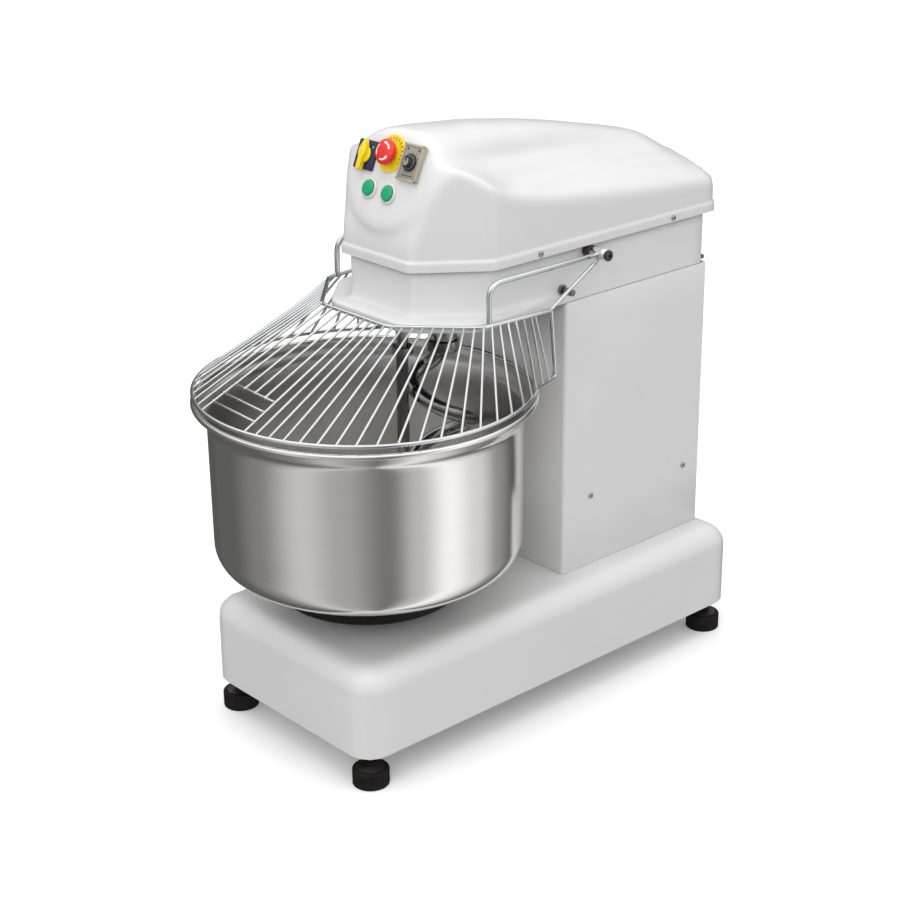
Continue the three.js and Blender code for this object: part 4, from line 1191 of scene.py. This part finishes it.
def curved_mark(start, end):
    """A printed arc on the stop button's face that ends in an arrow point."""
    steps = 22
    sink, rise = -0.0001, 0.0004
    rings = []
    for i in range(steps + 1):
        share = i / steps
        half = 0.00115 if share < 0.72 else 0.0021 * (1 - share) / 0.28 + 0.0001
        angle = radians(start + (end - start) * share)
        inner, outer = ARROW_REACH - half, ARROW_REACH + half
        ring = []
        for reach, lift in ((inner, sink), (outer, sink), (outer, rise), (inner, rise)):
            ring.append(polar(reach, angle, mushroom_height(reach) + lift))
        rings.append(ring)
    return rings_mesh(rings, (True, True))


def make_timer():
    half_x, half_y, strip = 0.020, 0.026, 0.0016
    outer = rounded_slab(half_x, half_y, 0.0003, 0.0062, 0.002, 0.0006)
    rim = []
    for way in (1, -1):
        along = (0, way * (half_y - strip))
        rim.append(rounded_slab(half_x, strip, 0.0058, 0.008, 0.001, 0.0004, 3, along))
    for way in (1, -1):
        along = (way * (half_x - strip), 0)
        rim.append(rounded_slab(strip, half_y, 0.0058, 0.008, 0.001, 0.0004, 3, along))
    fitted("timer_frame", on_panel("timer", outer, *rim), "beige_plastic", 40, "frame", "timer_plate")
    face = rounded_slab(0.0166, 0.0226, 0.006, 0.0066, 0.001, 0.0002)
    fitted("timer_face", on_panel("timer", face), "grey_face", 40, "frame", slot="beige_plastic")
    marks = ray_marks(range(-60, 241, 30), (0.0138, 0.0067), (0.0156, 0.0067), 0.00035, 6)
    dot = [(0, 0.006), (0.0015, 0.006), (0.0015, 0.0071), (0.0012, 0.0075), (0, 0.0075)]
    dots = [lathe(dot, 20, (side * 0.0115, 0.0185, 0)) for side, _ in SIDES]
    bars = [rounded_slab(0.0022, 0.0007, 0.0064, 0.0069, 0.0005, 0.0001, 3, (x, -0.0185))
            for x in (-0.0085, -0.003, 0.0025, 0.008)]
    skin = on_panel("timer", *marks, *dots, *bars)
    fitted("timer_marks", skin, "dark_mark", 40, "frame", slot="beige_plastic")
    skirt = [(0, -0.008), (0.004, -0.008), (0.004, 0.007), (0.0121, 0.007), (0.0125, 0.0074)]
    skirt += [(0.0125, 0.0088), (0.0118, 0.0096), (0.0090, 0.0100), (0.0084, 0.0106)]
    skirt += [(0.0080, 0.0152), (0.0072, 0.016), (0, 0.016)]

    def grips(angle, radius, height):
        if 0.0101 < height < 0.0155 and radius > 0.005:
            return radius - 0.0004 * (0.5 + 0.5 * cos(24 * angle))
        return radius

    pointer = rounded_slab(0.0011, 0.0034, 0.0155, 0.0172, 0.0006, 0.0003, 3, (0, 0.0042))
    knob = lathe(skirt, 96, wave=grips)
    fitted("timer_dial", on_panel("timer", knob, pointer), "black_plastic", 40, "timer", "timer_knob")
    ring = [(0.0092, 0.0098), (0.0098, 0.0099), (0.0098, 0.0102), (0.0092, 0.0103), (0.0092, 0.0098)]
    badge = [(0, 0.0158), (0.0056, 0.0158), (0.0058, 0.0163), (0, 0.0164)]
    skin = on_panel("timer", lathe(ring, 64), lathe(badge, 48))
    fitted("timer_dial_trim", skin, "grey_face", 40, "timer", slot="black_plastic")


def make_button(label):
    """A push button in its bezel; the rim leaves room for the cap's travel."""
    ring = [(0.0065, -0.028), (0.011, -0.028), (0.011, 0.0003), (0.0146, 0.0003), (0.015, 0.0008)]
    ring += [(0.015, 0.0027), (0.0147, 0.0038), (0.0138, 0.0046), (0.0125, 0.0048), (0.0117, 0.0044)]
    ring += [(0.0115, 0.0037), (0.0115, 0.0007), (0.0065, 0.0007), (0.0065, -0.028)]
    skin = on_panel(label, lathe(ring, 80))
    fitted(f"{label}_bezel", skin, "bezel_plastic", 35, "frame", f"{label}_button_bezel")
    cap = [(0, -0.022), (0.0056, -0.022), (0.006, -0.0216), (0.006, 0.0045), (0.0106, 0.0045)]
    cap += [(0.011, 0.0049), (0.011, 0.0060), (0.0105, 0.0067), (0.0094, 0.0071), (0.005, 0.0072)]
    cap += [(0, 0.0073)]
    skin = on_panel(label, lathe(cap, 64))
    fitted(f"{label}_cap", skin, "green_plastic", 35, f"{label}_cap", f"{label}_button_cap")


make_selector()
make_stop_button()
make_timer()
make_button("start")
make_button("jog")


# ---- CAD nodes that stay, with their finishes ----
def finish_cad_nodes():
    slots = {row["node"]: row["material_slot"] for row in frame["record"]["subparts"]}
    for name, node in NODES.items():
        if node.hide_render:
            continue
        node.data.materials.clear()
        node.data.materials.append(LOOKS[slots[name]])
        join = node.modifiers.new("join", "WELD")
        join.merge_threshold = 0.00001
        edge = node.modifiers.new("edge", "BEVEL")
        edge.width = 0.0004
        edge.segments = 2
        edge.limit_method = "ANGLE"
        edge.angle_limit = radians(40)


finish_cad_nodes()


# ---- Stage ----
FLOOR_RADII = (0.0, 1.0, 3.0, 8.0, 30.0)
FLOOR_GLOW = 0.12
ROOM_RADIUS = 9
ROOM_TOP = 1.25
# The heights between which the wall's tones give way to the even top.
ROOM_CLIMB = (3.2, 6.5)
# Brightness round the room, by heading in degrees: 0 looks along -Y, 90 along +X.
ROOM_TONES = {
    -175: 0.10, -120: 0.10, -65: 0.12, -35: 0.24, 2: 0.62, 30: 0.42, 64: 0.19, 85: 0.55,
    110: 1.08, 135: 0.75, 160: 0.30, 182: 0.10,
}


def make_ground(name, dark, light, z):
    """A round ground that drifts between two close greys."""
    tree, surface = new_material(name)
    tone = tint(tree, surface, noise(tree, texture_space(tree), 2.0), (dark,) * 3, (light,) * 3)
    rings = [circle(radius, z, 64) for radius in FLOOR_RADII]
    made = piece(name, weld(*rings_mesh(rings)), name)
    made.visible_glossy = False
    return made, tree, surface, tone


def make_floor():
    """A pale floor for the camera, and a greyer one below it that throws light back up."""
    floor, tree, surface, tone = make_ground("floor", 0.97, 0.985, 0)
    tree.links.new(tone, surface.inputs["Emission Color"])
    set_inputs(surface, {"Emission Strength": FLOOR_GLOW, "Roughness": 0.9, "Specular IOR Level": 0.1})
    floor.visible_diffuse = False
    bounce = make_ground("bounce_floor", 0.46, 0.50, -0.002)[0]
    bounce.visible_camera = False


def make_reflection_room():
    """A dim round wall that only reflections see: two bright softboxes with dark gaps between."""
    tree, _ = new_material("reflection_room")
    nodes, links = tree.nodes, tree.links
    nodes.clear()
    coordinates = nodes.new("ShaderNodeTexCoord")
    split = nodes.new("ShaderNodeSeparateXYZ")
    links.new(coordinates.outputs["Object"], split.inputs["Vector"])
    angle = nodes.new("ShaderNodeMath")
    angle.operation = "ARCTAN2"
    links.new(split.outputs["Y"], angle.inputs[0])
    links.new(split.outputs["X"], angle.inputs[1])
    ramp = nodes.new("ShaderNodeValToRGB")
    ramp.color_ramp.interpolation = "EASE"
    links.new(ranged(tree, angle.outputs[0], 0.0, 1.0, -pi, pi), ramp.inputs["Fac"])
    wall = room_tones()
    while len(ramp.color_ramp.elements) < len(wall):
        ramp.color_ramp.elements.new(0.5)
    for element, (place, tone) in zip(ramp.color_ramp.elements, wall):
        element.position = place
        element.color = (tone, tone, tone * 1.01, 1)
    blend = nodes.new("ShaderNodeMix")
    blend.data_type = "RGBA"
    factor, wall_in, top_in = (blend.inputs[i] for i in (0, 6, 7))
    top_in.default_value = (ROOM_TOP, ROOM_TOP, ROOM_TOP, 1)
    links.new(ranged(tree, split.outputs["Z"], 0.0, 1.0, *ROOM_CLIMB), factor)
    links.new(ramp.outputs["Color"], wall_in)
    glow = nodes.new("ShaderNodeEmission")
    links.new(blend.outputs[2], glow.inputs["Color"])
    glow.inputs["Strength"].default_value = 1.0
    out = nodes.new("ShaderNodeOutputMaterial")
    links.new(glow.outputs[0], out.inputs["Surface"])
    tilts = [pi * k / 24 - pi / 2 for k in range(1, 24)]
    rings = [circle(ROOM_RADIUS * cos(t), ROOM_RADIUS * sin(t) + 0.5, 48) for t in tilts]
    room = piece("reflection_room", rings_mesh(rings, (True, True)), "reflection_room")
    room.visible_camera = False
    room.visible_diffuse = False
    room.visible_shadow = False
    room.visible_transmission = False
    room.visible_volume_scatter = False


def room_tones():
    """The room's tones in the order of a ramp that starts and ends at -X."""
    tones = []
    for heading, tone in ROOM_TONES.items():
        angle = radians(heading) - pi / 2
        while angle < -pi:
            angle += 2 * pi
        tones.append(((angle + pi) / (2 * pi), tone))
    return sorted(tones)


TOP_WATTS = 24
KEY_WATTS = 24


def area_light(name, place, target, size, power):
    """A round softbox that reflections do not see."""
    data = bpy.data.lights.new(name, "AREA")
    data.shape = "DISK"
    data.size = size
    data.energy = power
    light = bpy.data.objects.new(name, data)
    bpy.context.scene.collection.objects.link(light)
    light.location = place
    light.rotation_mode = "QUATERNION"
    light.rotation_quaternion = (Vector(target) - Vector(place)).to_track_quat("-Z", "Y")
    light.visible_glossy = False


def make_lights():
    """An even white sky with a softbox above and one at the front right."""
    world = bpy.data.worlds.new("studio")
    bpy.context.scene.world = world
    world.use_nodes = True
    sky = world.node_tree.nodes["Background"]
    sky.inputs["Color"].default_value = (1.0, 1.0, 1.0, 1)
    sky.inputs["Strength"].default_value = 1.0
    area_light("top_box", (0.2, -0.5, 3.3), (0, 0, 0.4), 2.4, TOP_WATTS)
    area_light("key_box", (2.0, -2.6, 2.0), (0, 0, 0.5), 1.8, KEY_WATTS)


make_floor()
make_reflection_room()
make_lights()
bpy.context.scene.view_settings.view_transform = "Standard"
